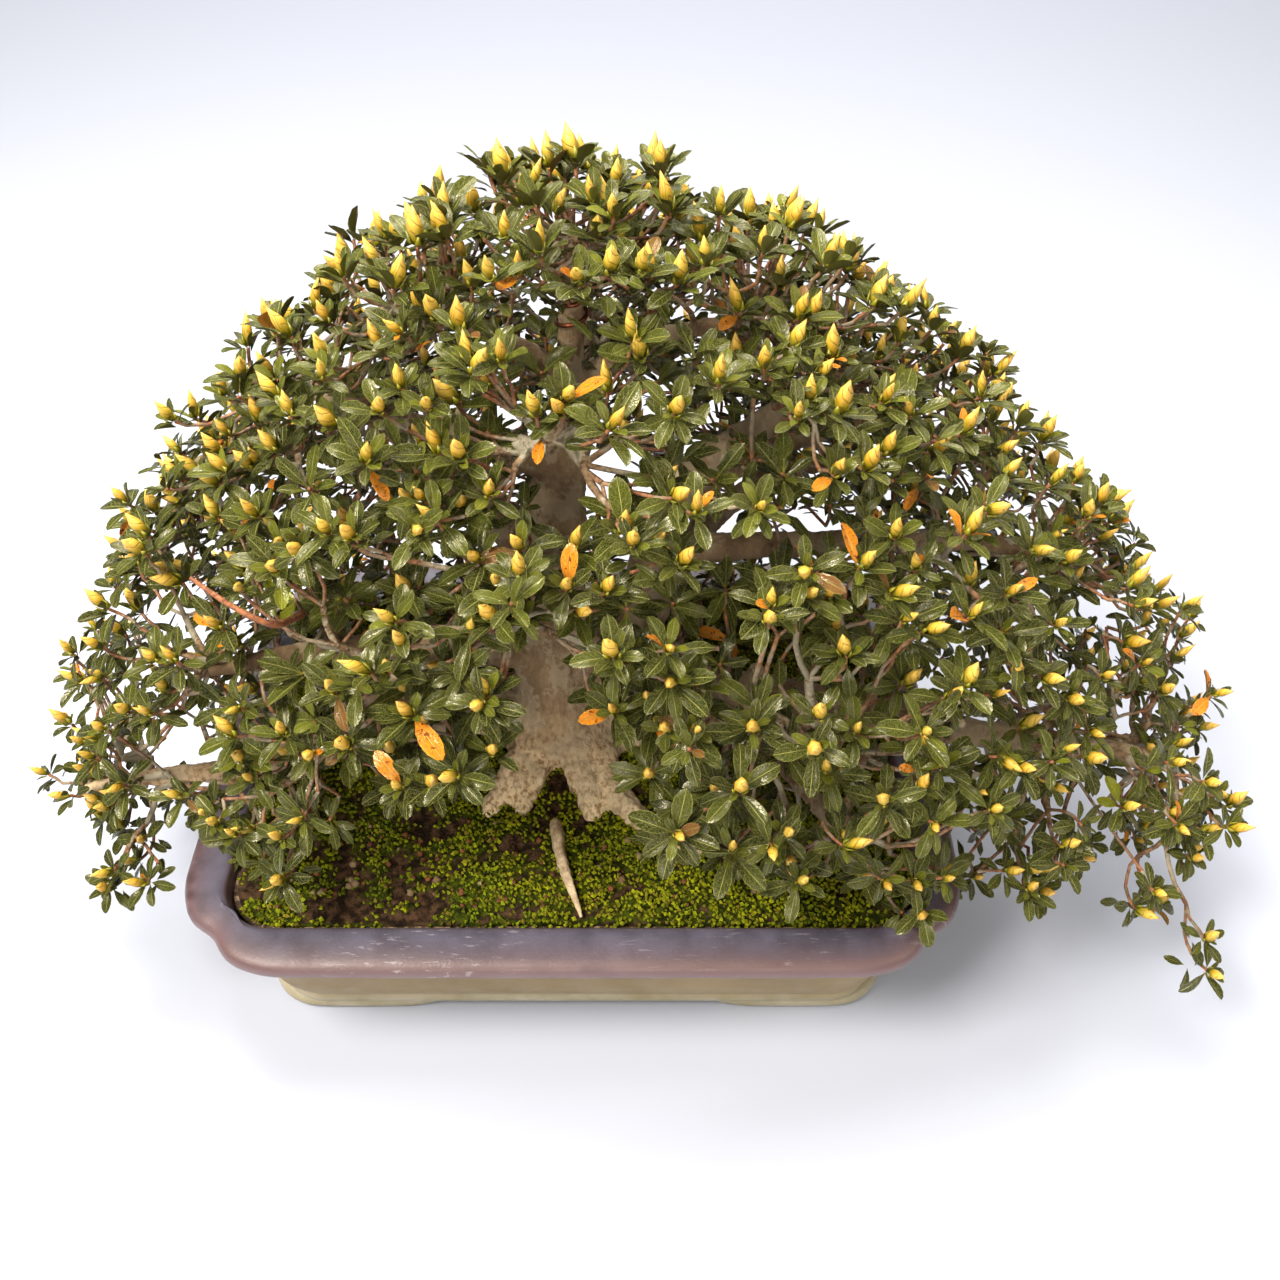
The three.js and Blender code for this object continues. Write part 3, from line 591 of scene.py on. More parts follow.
def bed_ring(inset, height, scale=1.0):
    """A ring of the bed: the tray's inner outline, set in, evenly pointed, shrunk and lifted."""
    edge = np.array(inner_ring(inset, 0, 22))[:, :2]
    edge = np.vstack([edge, edge[:1]])
    run = np.concatenate([[0], np.cumsum(np.linalg.norm(np.diff(edge, axis=0), axis=1))])
    goal = np.linspace(0, run[-1], BED_POINTS, endpoint=False)
    x, y = (np.interp(goal, run, edge[:, k]) * scale for k in (0, 1))
    z = height(x, y) if callable(height) else np.full(BED_POINTS, float(height))
    return [tuple(p) for p in np.stack([x, y, z], 1)]


def lumps(x, y, size, seed):
    """Gentle unevenness over the bed, with lumps about as wide as size."""
    spots = (Vector((a / size, b / size, seed)) for a, b in zip(x, y))
    return np.array([noise.fractal(spot, 0.8, 2.0, 3) for spot in spots])


earth, tree, surface, place = new_material("earth", 0.95, Specular_IOR_Level=0.2)
clod = cloudy(tree, place, 190.0, 0.35, 0.7)
tone = mixed(tree, clod, seen(44, 34, 26), seen(92, 74, 56))
grit = crusty(tree, place, 300.0, 0.24)
coloured(tree, surface, mixed(tree, grit, tone, seen(140, 118, 92)))
grained(tree, surface, place, 420.0, 0.0016)


def crumbly(x, y):
    return soil_height(x, y) + 0.9 * lumps(x, y, 5, 3)


top = [bed_ring(1.7, crumbly, 1 - SHRUNK * k / SOIL_RINGS) for k in range(SOIL_RINGS + 1)]
soil = lofted("soil_bed", [bed_ring(16.5, 17.4), bed_ring(9.5, 24.3)] + top, earth)
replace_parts(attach(soil, "root"), "soil")
print("soil triangles:", triangles(soil))

# %% [markdown]
# Moss grows on the soil in cushions of tiny shoots. They could be painted on, but a cushion is known by its
# crumbly outline, so it is built in two parts. A green undercoat carries the cushions' height, and a
# "cover" value stored on it says where moss grows and where the dark soil stays bare.

# %% The mossy undercoat
def moss_thickness(x, y):
    cushions = np.sin(x * 0.115 + 0.7) * np.cos(y * 0.13 - 0.4) + 0.6 * np.sin(x * 0.071 - y * 0.094 + 1.9)
    return 1.6 + 5.5 * (0.45 + 0.34 * cushions)


def moss_cover(x, y):
    """How thickly moss grows at a point: 1 on a cushion, 0 where the soil is bare."""
    patchy = 0.86 + 0.9 * lumps(x, y, 30, 9) + 1.0 * lumps(x, y, 9, 5)
    bare_corner = np.exp(-(((x + 108) / 52) ** 2 + ((y + 90) / 30) ** 2))
    bare_front = np.exp(-(((x + 60) / 80) ** 2 + ((y + 114) / 9) ** 2))
    # moss kept off under the trunk's arch so that dark soil shows: painted shade where the arch is in shadow
    arch_shade_patch = np.exp(-(((x + 9) / 11) ** 2 + ((y + 50) / 14) ** 2))
    bare_root = np.exp(-(((x + 52) / 22) ** 2 + ((y + 62) / 16) ** 2))
    return np.clip(patchy - 0.7 * bare_corner - 0.5 * bare_root - 0.5 * bare_front - 0.8 * arch_shade_patch, 0, 1)


def moss_height(x, y):
    domes = moss_thickness(x, y) - 1.8 + 2.4 * lumps(x, y, 14, 6) + 1.3 * lumps(x, y, 5, 8)
    return soil_height(x, y) + 1.2 + np.maximum(domes, 0.3) * moss_cover(x, y)


moss_green, tree, surface, place = new_material("moss", 0.9, Specular_IOR_Level=0.2)
wet = cloudy(tree, place, 40.0, 0.35, 0.68)
sprig = cloudy(tree, place, 330.0, 0.35, 0.65)
bright = mixed(tree, wet, seen(110, 124, 6), seen(160, 162, 16))
dark = mixed(tree, wet, seen(42, 48, 2), seen(84, 82, 6))
tone = mixed(tree, sprig, dark, bright)
tone = mixed(tree, between(tree, named(tree, "shade"), 0.8, 1.0, 0.0, 0.75), tone, seen(116, 92, 36))
coloured(tree, surface, tone)

under_moss, tree, surface, place = new_material("under_moss", 0.95, Specular_IOR_Level=0.1)
felt = cloudy(tree, place, 260.0)
tone = mixed(tree, felt, seen(26, 30, 3), seen(62, 70, 8))
clod = cloudy(tree, place, 210.0, 0.42, 0.62)
bare = mixed(tree, clod, seen(34, 24, 16), seen(82, 60, 42))
tone = mixed(tree, between(tree, named(tree, "cover"), 0.25, 0.6, 1.0, 0.0), tone, bare)
coloured(tree, surface, tone)
grained(tree, surface, place, 500.0, 0.0012)

rings = [bed_ring(3.7, 76)]
rings += [bed_ring(3.6, moss_height, 1 - SHRUNK * k / MOSS_RINGS) for k in range(MOSS_RINGS + 1)]
undercoat = lofted("moss_undercoat", rings, under_moss)
spots = np.array([v.co for v in undercoat.data.vertices]) - TRAY_MIDDLE
cover = undercoat.data.attributes.new("cover", "FLOAT", "POINT")
cover.data.foreach_set("value", moss_cover(spots[:, 0] * 1000, spots[:, 1] * 1000).astype(np.float32))
print("undercoat triangles:", triangles(undercoat))

# %% [markdown]
# Four helpers for Geometry Nodes. geometry_tree() opens a tree with named inputs, and grown() runs a tree
# on an object and keeps the plain mesh. stored() reads a value that is kept on the points, and spread()
# draws a random one for each. A modifier's inputs are set by their sockets' identifiers, because two inputs
# may share a name.

# %% Helpers for geometry nodes
def geometry_tree(name, inputs):
    tree = bpy.data.node_groups.new(name, "GeometryNodeTree")
    tree.is_modifier = True
    for label, kind in [("Geometry", "NodeSocketGeometry")] + inputs:
        tree.interface.new_socket(label, in_out="INPUT", socket_type=kind)
    tree.interface.new_socket("Geometry", in_out="OUTPUT", socket_type="NodeSocketGeometry")
    return tree, tree.nodes.new("NodeGroupInput").outputs, tree.nodes.new("NodeGroupOutput").inputs[0]


def grown(source, tree, values, name=None):
    modifier = source.modifiers.new("grow", "NODES")
    modifier.node_group = tree
    for item in tree.interface.items_tree:
        if item.in_out == "INPUT" and item.name in values:
            modifier[item.identifier] = values[item.name]
    source.update_tag()
    return finished(source, name)


def stored(tree, name, kind="FLOAT"):
    made = put(tree, "GeometryNodeInputNamedAttribute", {"Name": name}, data_type=kind)
    return made.outputs["Attribute"]


def spread(tree, low, high, seed, kind="FLOAT"):
    made = put(tree, "FunctionNodeRandomValue", data_type=kind)
    inputs = [socket for socket in made.inputs if socket.enabled]
    inputs[0].default_value, inputs[1].default_value = low, high
    made.inputs["Seed"].default_value = seed
    return next(socket for socket in made.outputs if socket.enabled)


print("geometry helpers ready")

# %% [markdown]
# Geometry Nodes plant the shoots. Points are scattered on the undercoat no closer than half a shoot's width
# and thinned by its cover, and each point gets one shoot with its own turn, size and shade. A shoot is a
# granule of eight faces, which is all that fits its size and its number.

# %% Moss shoots
moss_tree, given, result = geometry_tree(
    "moss_shoots",
    [("Spacing", "NodeSocketFloat"), ("Shoot", "NodeSocketObject"), ("Green", "NodeSocketMaterial")],
)
normal = put(moss_tree, "GeometryNodeInputNormal").outputs[0]
upright = put(moss_tree, "ShaderNodeSeparateXYZ", {0: normal}).outputs["Z"]
level = math_of(moss_tree, "GREATER_THAN", upright, 0.25)
growing = times(moss_tree, stored(moss_tree, "cover"), level)
scatter = put(
    moss_tree,
    "GeometryNodeDistributePointsOnFaces",
    {"Mesh": given["Geometry"], "Distance Min": given["Spacing"], "Density Max": 400000.0, "Seed": 4},
    distribute_method="POISSON",
)
moss_tree.links.new(between(moss_tree, growing, 0.16, 0.66), scatter.inputs["Density Factor"])
shape = put(moss_tree, "GeometryNodeObjectInfo", {"Object": given["Shoot"]}).outputs["Geometry"]
turned = put(moss_tree, "FunctionNodeRotateRotation", {"Rotation": scatter.outputs["Rotation"]})
any_turn = spread(moss_tree, (-0.35, -0.35, 0.0), (0.35, 0.35, 6.283), 5, "FLOAT_VECTOR")
moss_tree.links.new(any_turn, turned.inputs["Rotate By"])
turned.rotation_space = "LOCAL"
planted = put(
    moss_tree,
    "GeometryNodeInstanceOnPoints",
    {"Points": scatter.outputs["Points"], "Instance": shape, "Rotation": turned.outputs[0]},
)
moss_tree.links.new(spread(moss_tree, 0.75, 1.35, 6), planted.inputs["Scale"])
shaded = put(
    moss_tree,
    "GeometryNodeStoreNamedAttribute",
    {"Geometry": planted.outputs[0], "Name": "shade"},
    data_type="FLOAT",
    domain="INSTANCE",
)
moss_tree.links.new(spread(moss_tree, 0.0, 1.0, 7), shaded.inputs["Value"])
real = put(moss_tree, "GeometryNodeRealizeInstances", {"Geometry": shaded.outputs[0]})
green = put(moss_tree, "GeometryNodeSetMaterial", {"Geometry": real.outputs[0], "Material": given["Green"]})
both = put(moss_tree, "GeometryNodeJoinGeometry", {"Geometry": green.outputs[0]})
moss_tree.links.new(given["Geometry"], both.inputs[0])
moss_tree.links.new(both.outputs[0], result)


SHOOT_SIDES = 4
SHOOT_REACH, SHOOT_LIFT = (1.25, 0.95), (0.7, 0.3)  # mm, the radii by turns and their heights
SHOOT_TOP, SHOOT_FOOT = 2.1, -0.6  # mm
MOSS_SPACING = 0.0013  # metres
shoot_corners, shoot_faces = [(0, 0, SHOOT_TOP), (0, 0, SHOOT_FOOT)], []
for k in range(SHOOT_SIDES):
    turn, reach = math.tau * k / SHOOT_SIDES, SHOOT_REACH[k % 2]
    shoot_corners.append((reach * math.cos(turn), reach * math.sin(turn), SHOOT_LIFT[k % 2]))
    here, after = 2 + k, 2 + (k + 1) % SHOOT_SIDES
    shoot_faces += [(0, here, after), (1, after, here)]
shoot = new_mesh("moss_shoot", np.array(shoot_corners) * 0.001, shoot_faces, smooth=False)
moss_values = {"Spacing": MOSS_SPACING, "Shoot": shoot, "Green": moss_green}
moss = grown(undercoat, moss_tree, moss_values, "moss_cushions")
bpy.data.objects.remove(shoot)
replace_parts(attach(moss, "root"), "moss")
print("moss triangles:", triangles(moss))

# %% [markdown]
# The wood follows the same routes as the solid tree: each limb leaves the wood at the first point of its
# route and tapers from one radius to the next. Here a limb has many sides, flutes that run along it and
# small swellings, all limbs are merged by a voxel remesh into one skin with soft crotches, and bark relief
# is pushed into that skin. A remesh is used because a union of tubes would leave hard seams at each fork.

# %% Routes of the wood
TRUNK = (
    [
        (-7, -18, 62), (-7, -18, 92), (-8, -11, 122), (-8, -4, 158), (-8, 0, 205), (-3, 3, 251),
        (4, 3, 280), (3, 4, 308), (5, 5, 336), (6, 8, 362),
    ],
    [30, 31, 25, 20.5, 15.5, 11.5, 9, 6.5, 4.5, 3],
)
ROOTS = [
    ([(-14, -22, 104), (-28, -38, 97), (-40, -49, 86), (-56, -58, 66)], [13, 11, 7, 3]),
    ([(-2, -26, 108), (6, -42, 98), (10, -55, 87), (12, -72, 64)], [13, 11, 8, 4]),
    (
        [(6, -24, 106), (18, -46, 95), (30, -61, 90), (46, -71, 87), (64, -82, 80), (76, -90, 68)],
        [12, 8.5, 6.2, 5, 4, 2.5],
    ),
    ([(8, -14, 104), (30, -8, 94), (50, 2, 82), (74, 8, 60)], [14, 11, 7, 3]),
    ([(-4, -6, 104), (2, 18, 92), (6, 38, 78), (10, 60, 52)], [14, 11, 7, 3]),
    ([(-18, -14, 104), (-40, -4, 92), (-60, 8, 78), (-88, 18, 54)], [13, 11, 7, 3]),
    ([(-7, -18, 70), (-30, -30, 50), (-70, -40, 36), (-110, -30, 32)], [16, 11, 7, 3]),
    ([(-7, -18, 70), (25, -10, 50), (70, -30, 38), (115, -25, 33)], [16, 11, 7, 3]),
    ([(-30, -40, 96), (-42, -53, 88), (-46, -58, 78)], [7, 5.6, 3.5]),
    ([(-22, -38, 96), (-27, -55, 87), (-29, -60, 78)], [7, 5.2, 3.5]),
    ([(8, -36, 98), (20, -50, 90), (23, -62, 80)], [7, 5.5, 3.5]),
]
BOUGHS = {
    "second_trunk": (
        [
            (-2, -10, 120), (22, -2, 146), (37, 9, 180), (43, 18, 214), (62, 22, 242), (90, 25, 266),
            (120, 30, 288),
        ],
        [17, 15.5, 12.5, 10.5, 8.5, 6.5, 4],
    ),
    "right_low": (
        [
            (4, -12, 114), (50, -8, 124), (95, -12, 126), (140, -20, 121), (190, -35, 125),
            (240, -50, 131), (288, -58, 130),
        ],
        [15, 12, 10, 9.5, 7, 5, 3],
    ),
    "right_front_low": (
        [(70, -10, 125), (92, -45, 132), (112, -82, 131), (134, -114, 120)],
        [8, 6, 4.5, 3],
    ),
    "left_low": (
        [
            (-20, -15, 118), (-60, -28, 127), (-110, -38, 119), (-160, -48, 112), (-212, -55, 111),
            (-242, -58, 106),
        ],
        [11, 8.5, 7, 5.5, 4, 2.8],
    ),
    "left_front_mid": (
        [(-20, -8, 152), (-66, -34, 180), (-115, -50, 193), (-160, -62, 192)],
        [9, 7, 5, 3],
    ),
    "left_upper": (
        [(-3, 2, 258), (-34, 1, 270), (-62, 2, 277), (-100, 8, 290), (-136, 14, 296)],
        [9, 7.5, 6, 4.5, 3],
    ),
    "left_back": (
        [(-8, 2, 192), (-50, 30, 216), (-100, 48, 232), (-156, 52, 236), (-192, 40, 226)],
        [9, 7, 5.5, 4, 2.8],
    ),
    "back_left": ([(-6, 0, 160), (-32, 52, 184), (-66, 88, 196), (-106, 104, 196)], [9, 6.5, 5, 3]),
    "back_right": ([(34, 8, 172), (70, 52, 190), (112, 84, 198), (152, 94, 192)], [8, 6.5, 5, 3]),
    "back_high": ([(-4, 3, 240), (0, 44, 266), (6, 76, 278), (8, 98, 276)], [7, 5.5, 4.2, 3]),
    "right_mid": (
        [(40, 14, 200), (92, 8, 208), (142, 0, 216), (190, -6, 220), (232, -10, 214)],
        [8, 6.5, 5.5, 4.2, 2.8],
    ),
    "right_back": ([(50, 20, 226), (96, 42, 240), (142, 56, 244), (186, 58, 236)], [7, 5.5, 4.5, 3]),
    "front_middle": (
        [(-7, -2, 212), (-10, -38, 240), (-14, -66, 250), (-16, -86, 246)],
        [8, 6, 4.5, 3],
    ),
    "front_left": ([(-8, -4, 186), (-42, -46, 206), (-76, -80, 204), (-104, -98, 190)], [8, 6, 4.5, 3]),
    "front_right": ([(22, -2, 152), (52, -44, 178), (82, -78, 186), (112, -98, 178)], [9, 6.5, 4.5, 3]),
    "top_front": ([(4, 3, 284), (0, -30, 304), (-4, -56, 308)], [5.5, 4.2, 3]),
    "top_left": ([(3, 4, 302), (-32, 8, 322), (-66, 12, 330)], [5.5, 4, 2.8]),
    "top_right": ([(4, 4, 298), (40, 8, 318), (80, 12, 326)], [5.5, 4.2, 2.8]),
    "top_back": ([(4, 4, 312), (6, 36, 328), (8, 60, 330)], [5, 3.8, 2.8]),
}
print("limbs:", 1 + len(ROOTS) + len(BOUGHS))

# %% [markdown]
# A limb's centre line is a Catmull-Rom curve, which passes through every point of its route. The section is
# carried along it without twisting, by turning the last section's side only as far as the curve bends.

# %% Drawing a limb
def along_route(route, share):
    """Points on the smooth curve through a route, at shares from 0 to 1."""
    route = np.asarray(route, float)
    padded = np.vstack([2 * route[0] - route[1], route, 2 * route[-1] - route[-2]])
    place = np.clip(np.asarray(share, float), 0, 1) * (len(route) - 1)
    k = np.minimum(place.astype(int), len(route) - 2)
    t = (place - k)[:, None]
    a, b, c, d = (padded[k + i] for i in range(4))
    square, cube = 2 * a - 5 * b + 4 * c - d, 3 * b - a - 3 * c + d
    return 0.5 * (2 * b + (c - a) * t + square * t**2 + cube * t**3)


def limb_rings(route, radii, sides, steps, flute=0.0, seed=0.0):
    """Rings along a route. Flute is how deep the flutes are, as a share of the radius."""
    share = np.linspace(0, 1, steps + 1)
    centres = along_route(route, share)
    radius = np.interp(share * (len(radii) - 1), range(len(radii)), radii)
    side, rings = Vector((0.9, 0.1, 0.3)), []
    for s, centre in enumerate(centres):
        tangent = Vector(centres[min(s + 1, steps)] - centres[max(s - 1, 0)]).normalized()
        side = (side - side.dot(tangent) * tangent).normalized()
        other = tangent.cross(side)
        ring = []
        for i in range(sides):
            turn = math.tau * i / sides
            ripple = math.sin(turn * 3 + seed + s * 0.06) + 0.7 * math.sin(turn * 5 - seed * 2 + s * 0.09)
            swelling = noise.noise(Vector((seed * 7, s * 0.35, math.cos(turn) * 0.8)))
            reach = radius[s] * (1 + flute * ripple + 0.22 * flute / 0.06 * swelling if flute else 1)
            ring.append(tuple(centre + np.array(side * math.cos(turn) + other * math.sin(turn)) * reach))
        rings.append(ring)
    return rings


print("middle of the trunk's curve:", along_route(TRUNK[0], [0.5]).round(1).tolist())

# %% [markdown]
# Pruned stubs are part of an old bonsai's story: short side shoots were cut back to the limb and the cuts
# have dried pale. Each one here is a short straight limb that leaves its bough sideways, and its place is
# given by the bough, the share along it, the turn about it, its radius and its length.

# %% Pruned stubs
STUBS = [
    ("left_low", 0.22, 80, 4.2, 9), ("left_low", 0.36, 110, 3.6, 8), ("left_low", 0.55, 60, 3.0, 7),
    ("left_front_mid", 0.30, 75, 3.2, 7), ("left_upper", 0.35, 95, 3.0, 8),
    ("left_upper", 0.62, 60, 2.6, 7), ("right_low", 0.30, 85, 4.4, 8), ("right_low", 0.52, 60, 3.6, 8),
    ("right_low", 0.66, 120, 3.0, 7), ("right_mid", 0.45, 90, 3.0, 7),
    ("second_trunk", 0.42, 40, 4.2, 7), ("second_trunk", 0.62, 130, 3.6, 8),
    ("front_right", 0.45, 90, 3.0, 7), ("left_back", 0.40, 90, 2.8, 7),
]
stub_limbs = []
for name, share, turn, radius, length in STUBS:
    route, radii = BOUGHS[name]
    here, ahead = (Vector(p) for p in along_route(route, [share, share + 0.02]))
    along = (ahead - here).normalized()
    across = along.cross(Vector((0, 0, 1))).normalized()
    out = Matrix.Rotation(math.radians(turn), 3, along) @ -across
    out = (out + along * 0.35).normalized()
    reach = float(np.interp(share * (len(radii) - 1), range(len(radii)), radii)) + length
    stub_limbs.append(([tuple(here), tuple(here + out * reach)], [radius * 1.25, radius * 0.92]))
print("stubs:", len(stub_limbs))

# %% [markdown]
# Every limb is drawn as a closed tube of its own, and the voxel remesh then wraps all of them in one skin.
# The voxels are far smaller than the thinnest limb is thick, so that no bough is lost. Thick limbs get more
# sides and deeper flutes than thin ones.

# %% One skin of wood
VOXEL = 0.00145  # metres
THICK_FROM = 12.5  # mm
SIDES, FLUTES = {True: 32, False: 16}, {True: 0.06, False: 0.04}
LIMB_STEP = 2.5  # mm between the rings
wood_vertices, wood_faces = [], []
for number, (route, radii) in enumerate([TRUNK] + ROOTS + list(BOUGHS.values()) + stub_limbs):
    length = np.linalg.norm(np.diff(np.array(route, float), axis=0), axis=1).sum()
    thick = radii[0] > THICK_FROM
    rings = limb_rings(route, radii, SIDES[thick], max(6, int(length / LIMB_STEP)), FLUTES[thick], number)
    some, around = loft(rings)
    wood_faces += [tuple(i + len(wood_vertices) for i in face) for face in around]
    wood_vertices += some
raw = new_mesh("raw_wood", at(wood_vertices), wood_faces)
skin = raw.modifiers.new("skin", "REMESH")
skin.mode, skin.voxel_size, skin.use_smooth_shade = "VOXEL", VOXEL, True
wood = finished(raw, "wood")
print("wood triangles before the relief:", triangles(wood))

# %% [markdown]
# The relief is made of three things. An arch is hollowed under the front of the trunk, between the left
# toe and the middle one, where soil has washed away. Ridges run with the grain of each limb, deeper on the
# root spread. Fine lumps break up what is left. A cut end keeps its flat face and is marked, so that its
# colour can be pale.

# %% Relief of the bark
ARCH_MIDDLE, ARCH_REACH, ARCH_DEPTH = Vector((-10, -52, 91)), (7, 18, 21), 15
WOOD_KEPT = 0.52  # the share of its faces that the remeshed skin keeps


def relieved(place, normal):
    """Where the bark's relief puts a point of the smooth wood, all in millimetres of the tray frame."""
    lump = noise.noise(place * 0.16) + 0.5 * noise.noise(place * 0.4)
    grainy = noise.noise(Vector((place.x * 0.45, place.y * 0.45, place.z * 0.07)))
    beside = Vector((place.x + 4, place.y + 20)).length
    base = max(0.0, min(1.0, (150 - place.z) / 60)) * max(0.0, 1 - beside / 80)
    moved = place + normal * (0.6 * lump + (0.5 + 1.6 * base) * grainy)
    off = [(place[k] - ARCH_MIDDLE[k]) / ARCH_REACH[k] for k in range(3)]
    inside = 1 - sum(v * v for v in off)
    if inside > 0:
        moved.y += ARCH_DEPTH * math.sqrt(inside)
    return moved


to_tray = Vector(at([(0, 0, 0)])[0])
mesh = wood.data
cut = mesh.attributes.new("cut", "FLOAT", "POINT")
ends = []
for (start, end), radii in stub_limbs:
    ends.append((Vector(end), (Vector(end) - Vector(start)).normalized(), radii[1]))
tree_of_ends = kdtree.KDTree(len(ends))
for k, (end, _, _) in enumerate(ends):
    tree_of_ends.insert(end, k)
tree_of_ends.balance()
normals = [vertex.normal.copy() for vertex in mesh.vertices]
for vertex, normal in zip(mesh.vertices, normals):
    place = (vertex.co - to_tray) * 1000
    _, k, gap = tree_of_ends.find(place)
    end, out, radius = ends[k]
    if gap < radius + 1.5 and (place - end).dot(out) > -1.0:
        cut.data[vertex.index].value = 1.0
        continue
    vertex.co = relieved(place, normal) * 0.001 + to_tray
mesh.update()
wood.modifiers.new("fewer", "DECIMATE").ratio = WOOD_KEPT
wood = finished(wood, "tree_trunk_and_boughs")
wood.data.materials.append(bark)
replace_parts(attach(wood, "root"), "tree_wood")
print("wood triangles:", triangles(wood))

# %% [markdown]
# The crown is trained as a broad dome of leaf pads. Its surface is a stack of level ellipses: each row of
# the table gives a height, the ellipse's middle and its two half-axes. A second table draws the crown's
# uneven edge as the visitor's eye sees it, with its notches between the pads. A few windows go right
# through the leaves, and in the hollows only the outer leaves part, so that boughs show.

# %% Form of the crown
CROWN = np.array([
    (92, 30, -14, 286, 138), (120, 30, -10, 292, 142), (166, 36, -4, 270, 142), (216, 26, 2, 234, 136),
    (266, 22, 6, 194, 124), (312, 15, 12, 146, 100), (354, 8, 14, 98, 66), (377, 8, 14, 56, 36),
    (388, 8, 14, 14, 12),
], float)
SPACING_LOW, SPACING_TOP = 24.0, 18.8  # mm between neighbouring sprigs, at the crown's foot and top
CROWN_EDGE = np.array([
    (490, 148), (550, 150), (615, 140), (655, 155), (700, 200), (785, 198), (840, 235), (870, 262),
    (945, 278), (975, 292), (990, 345), (1065, 430), (1110, 490), (1150, 540), (1205, 585), (1238, 690),
    (1250, 745), (1240, 850), (1230, 950), (1196, 985), (1126, 912), (1085, 865), (1000, 915),
    (900, 920), (850, 890), (800, 890), (690, 855), (640, 850), (656, 822), (642, 785), (618, 758),
    (606, 730), (602, 640), (506, 636), (500, 740), (478, 785), (430, 790), (350, 795), (345, 835),
    (325, 880), (235, 888), (205, 838), (180, 822), (150, 862), (148, 900), (112, 903), (88, 850),
    (34, 792), (48, 735), (74, 660), (90, 575), (110, 530), (145, 440), (200, 400), (245, 325),
    (250, 285), (370, 195),
], float)  # the crown's edge in the camera's own 1280 by 1280 view
EDGE_RAGGED, EDGE_LUMP = 26, 24  # how far the edge wanders in and out, and over what width, in that view
VIEW, VIEW_MIDDLE = 1280, (640, 600)  # the view's width, and the middle of the crown in it
HANGING = [
    (28, -93, 203), (44, -95, 206), (274, -95, 131), (296, -88, 116), (-12, -90, 258), (-68, -80, 168),
    (284, -132, 60), (282, -118, 92), (-206, -100, 88), (-250, -58, 108),
]  # mm, where a sprig hangs out of the crown
BACK_MOST = 137  # mm, where the back is clipped flat
WINDOWS = [
    (600, 474, 38, 38), (728, 538, 48, 28), (826, 532, 34, 24), (185, 745, 42, 44), (1130, 722, 24, 38),
    (1098, 606, 30, 24), (196, 628, 24, 28), (955, 640, 20, 18), (535, 318, 15, 12), (1040, 505, 16, 12),
]  # gaps in that view: the middle of each and its half-axes
HOLLOWS = [
    (556, 335, 46, 24), (440, 428, 80, 20), (548, 480, 38, 60), (318, 630, 74, 30), (214, 545, 20, 24),
    (690, 604, 62, 34), (850, 690, 50, 26), (875, 500, 60, 18), (1004, 560, 22, 24), (760, 452, 46, 24),
    (130, 640, 24, 28), (1085, 790, 34, 26), (705, 330, 46, 24), (400, 560, 36, 26), (940, 400, 36, 18),
    (742, 660, 66, 24),
]  # places where the outer leaves part and the boughs show, measured in the same way


def in_view(points):
    """Where points in tray millimetres fall in the camera's 1280 by 1280 view."""
    points = np.asarray(points, float)
    down = math.radians(LOOK_DOWN)
    aside, ahead, below = points[..., 0] - EYE[0], points[..., 1] - EYE[1], EYE[2] - points[..., 2]
    depth = ahead * math.cos(down) + below * math.sin(down)
    lower = below * math.cos(down) - ahead * math.sin(down)
    scale = LENS / SENSOR * VIEW
    return np.stack([VIEW / 2 + aside * scale / depth, VIEW / 2 + lower * scale / depth], -1)


def inside_edge(edge, places):
    """True for each place inside a closed outline, by counting the sides that a level ray crosses."""
    x, y = places[:, 0], places[:, 1]
    within = np.zeros(len(places), bool)
    for (x1, y1), (x2, y2) in zip(edge, np.roll(edge, -1, axis=0)):
        within ^= ((y1 > y) != (y2 > y)) & (x < (x2 - x1) * (y - y1) / (y2 - y1 + 1e-9) + x1)
    return within


print("crown: %d mm wide" % (2 * CROWN[:, 3].max()))

# %% [markdown]
# Leaf rosettes are set on the crown by dart throwing: a random place is kept only if no kept place is too
# near. A grid would be quicker, but even spacing without a pattern is what clipped shoots really show. Most
# places get one or two companions, because shoots branch in twos and threes. Two looser layers further in
# keep the crown from being a hollow shell, and a few sprigs hang out of it.

# %% Leaf rosettes
rng = np.random.default_rng(7)
DOME_MIDDLE, DOME_HALF = np.array((26, 2, 120)), np.array((300, 160, 285))
LAYERS = {"outer": (14000, -3, 14), "middle": (9000, 17, 46), "deep": (9000, 50, 96)}  # darts, depths in mm
CROWN_FOOT, CROWN_TOP = 88, 389  # mm
COMPANIONS, COMPANION_GAP = (0.3, 0.4, 0.3), (10, 15)  # the chance of none, one or two; how far off, mm
PER_SPRIG, SPRIG_CLOUD = 5, (17, 13, 17)  # at most, and how widely they spread, where a sprig hangs out


def unit(vector):
    return np.asarray(vector, float) / np.linalg.norm(vector)


def on_crown(count, least, most):
    """Random places set in from the crown's surface by least to most millimetres."""
    height = rng.uniform(CROWN_FOOT, CROWN_TOP, count)
    middle_x, middle_y, half_x, half_y = (np.interp(height, CROWN[:, 0], CROWN[:, k]) for k in range(1, 5))
    turn = rng.uniform(0, math.tau, count)
    inset = rng.uniform(least, most, count)
    kept = rng.uniform(0, 1, count) < (np.hypot(half_x, half_y) + 30) / np.hypot(half_x, half_y).max()
    x = middle_x + (half_x - inset) * np.cos(turn)
    y = middle_y + (half_y - 0.8 * inset) * np.sin(turn)
    return np.stack([x, y, height - 0.35 * inset], -1)[kept]


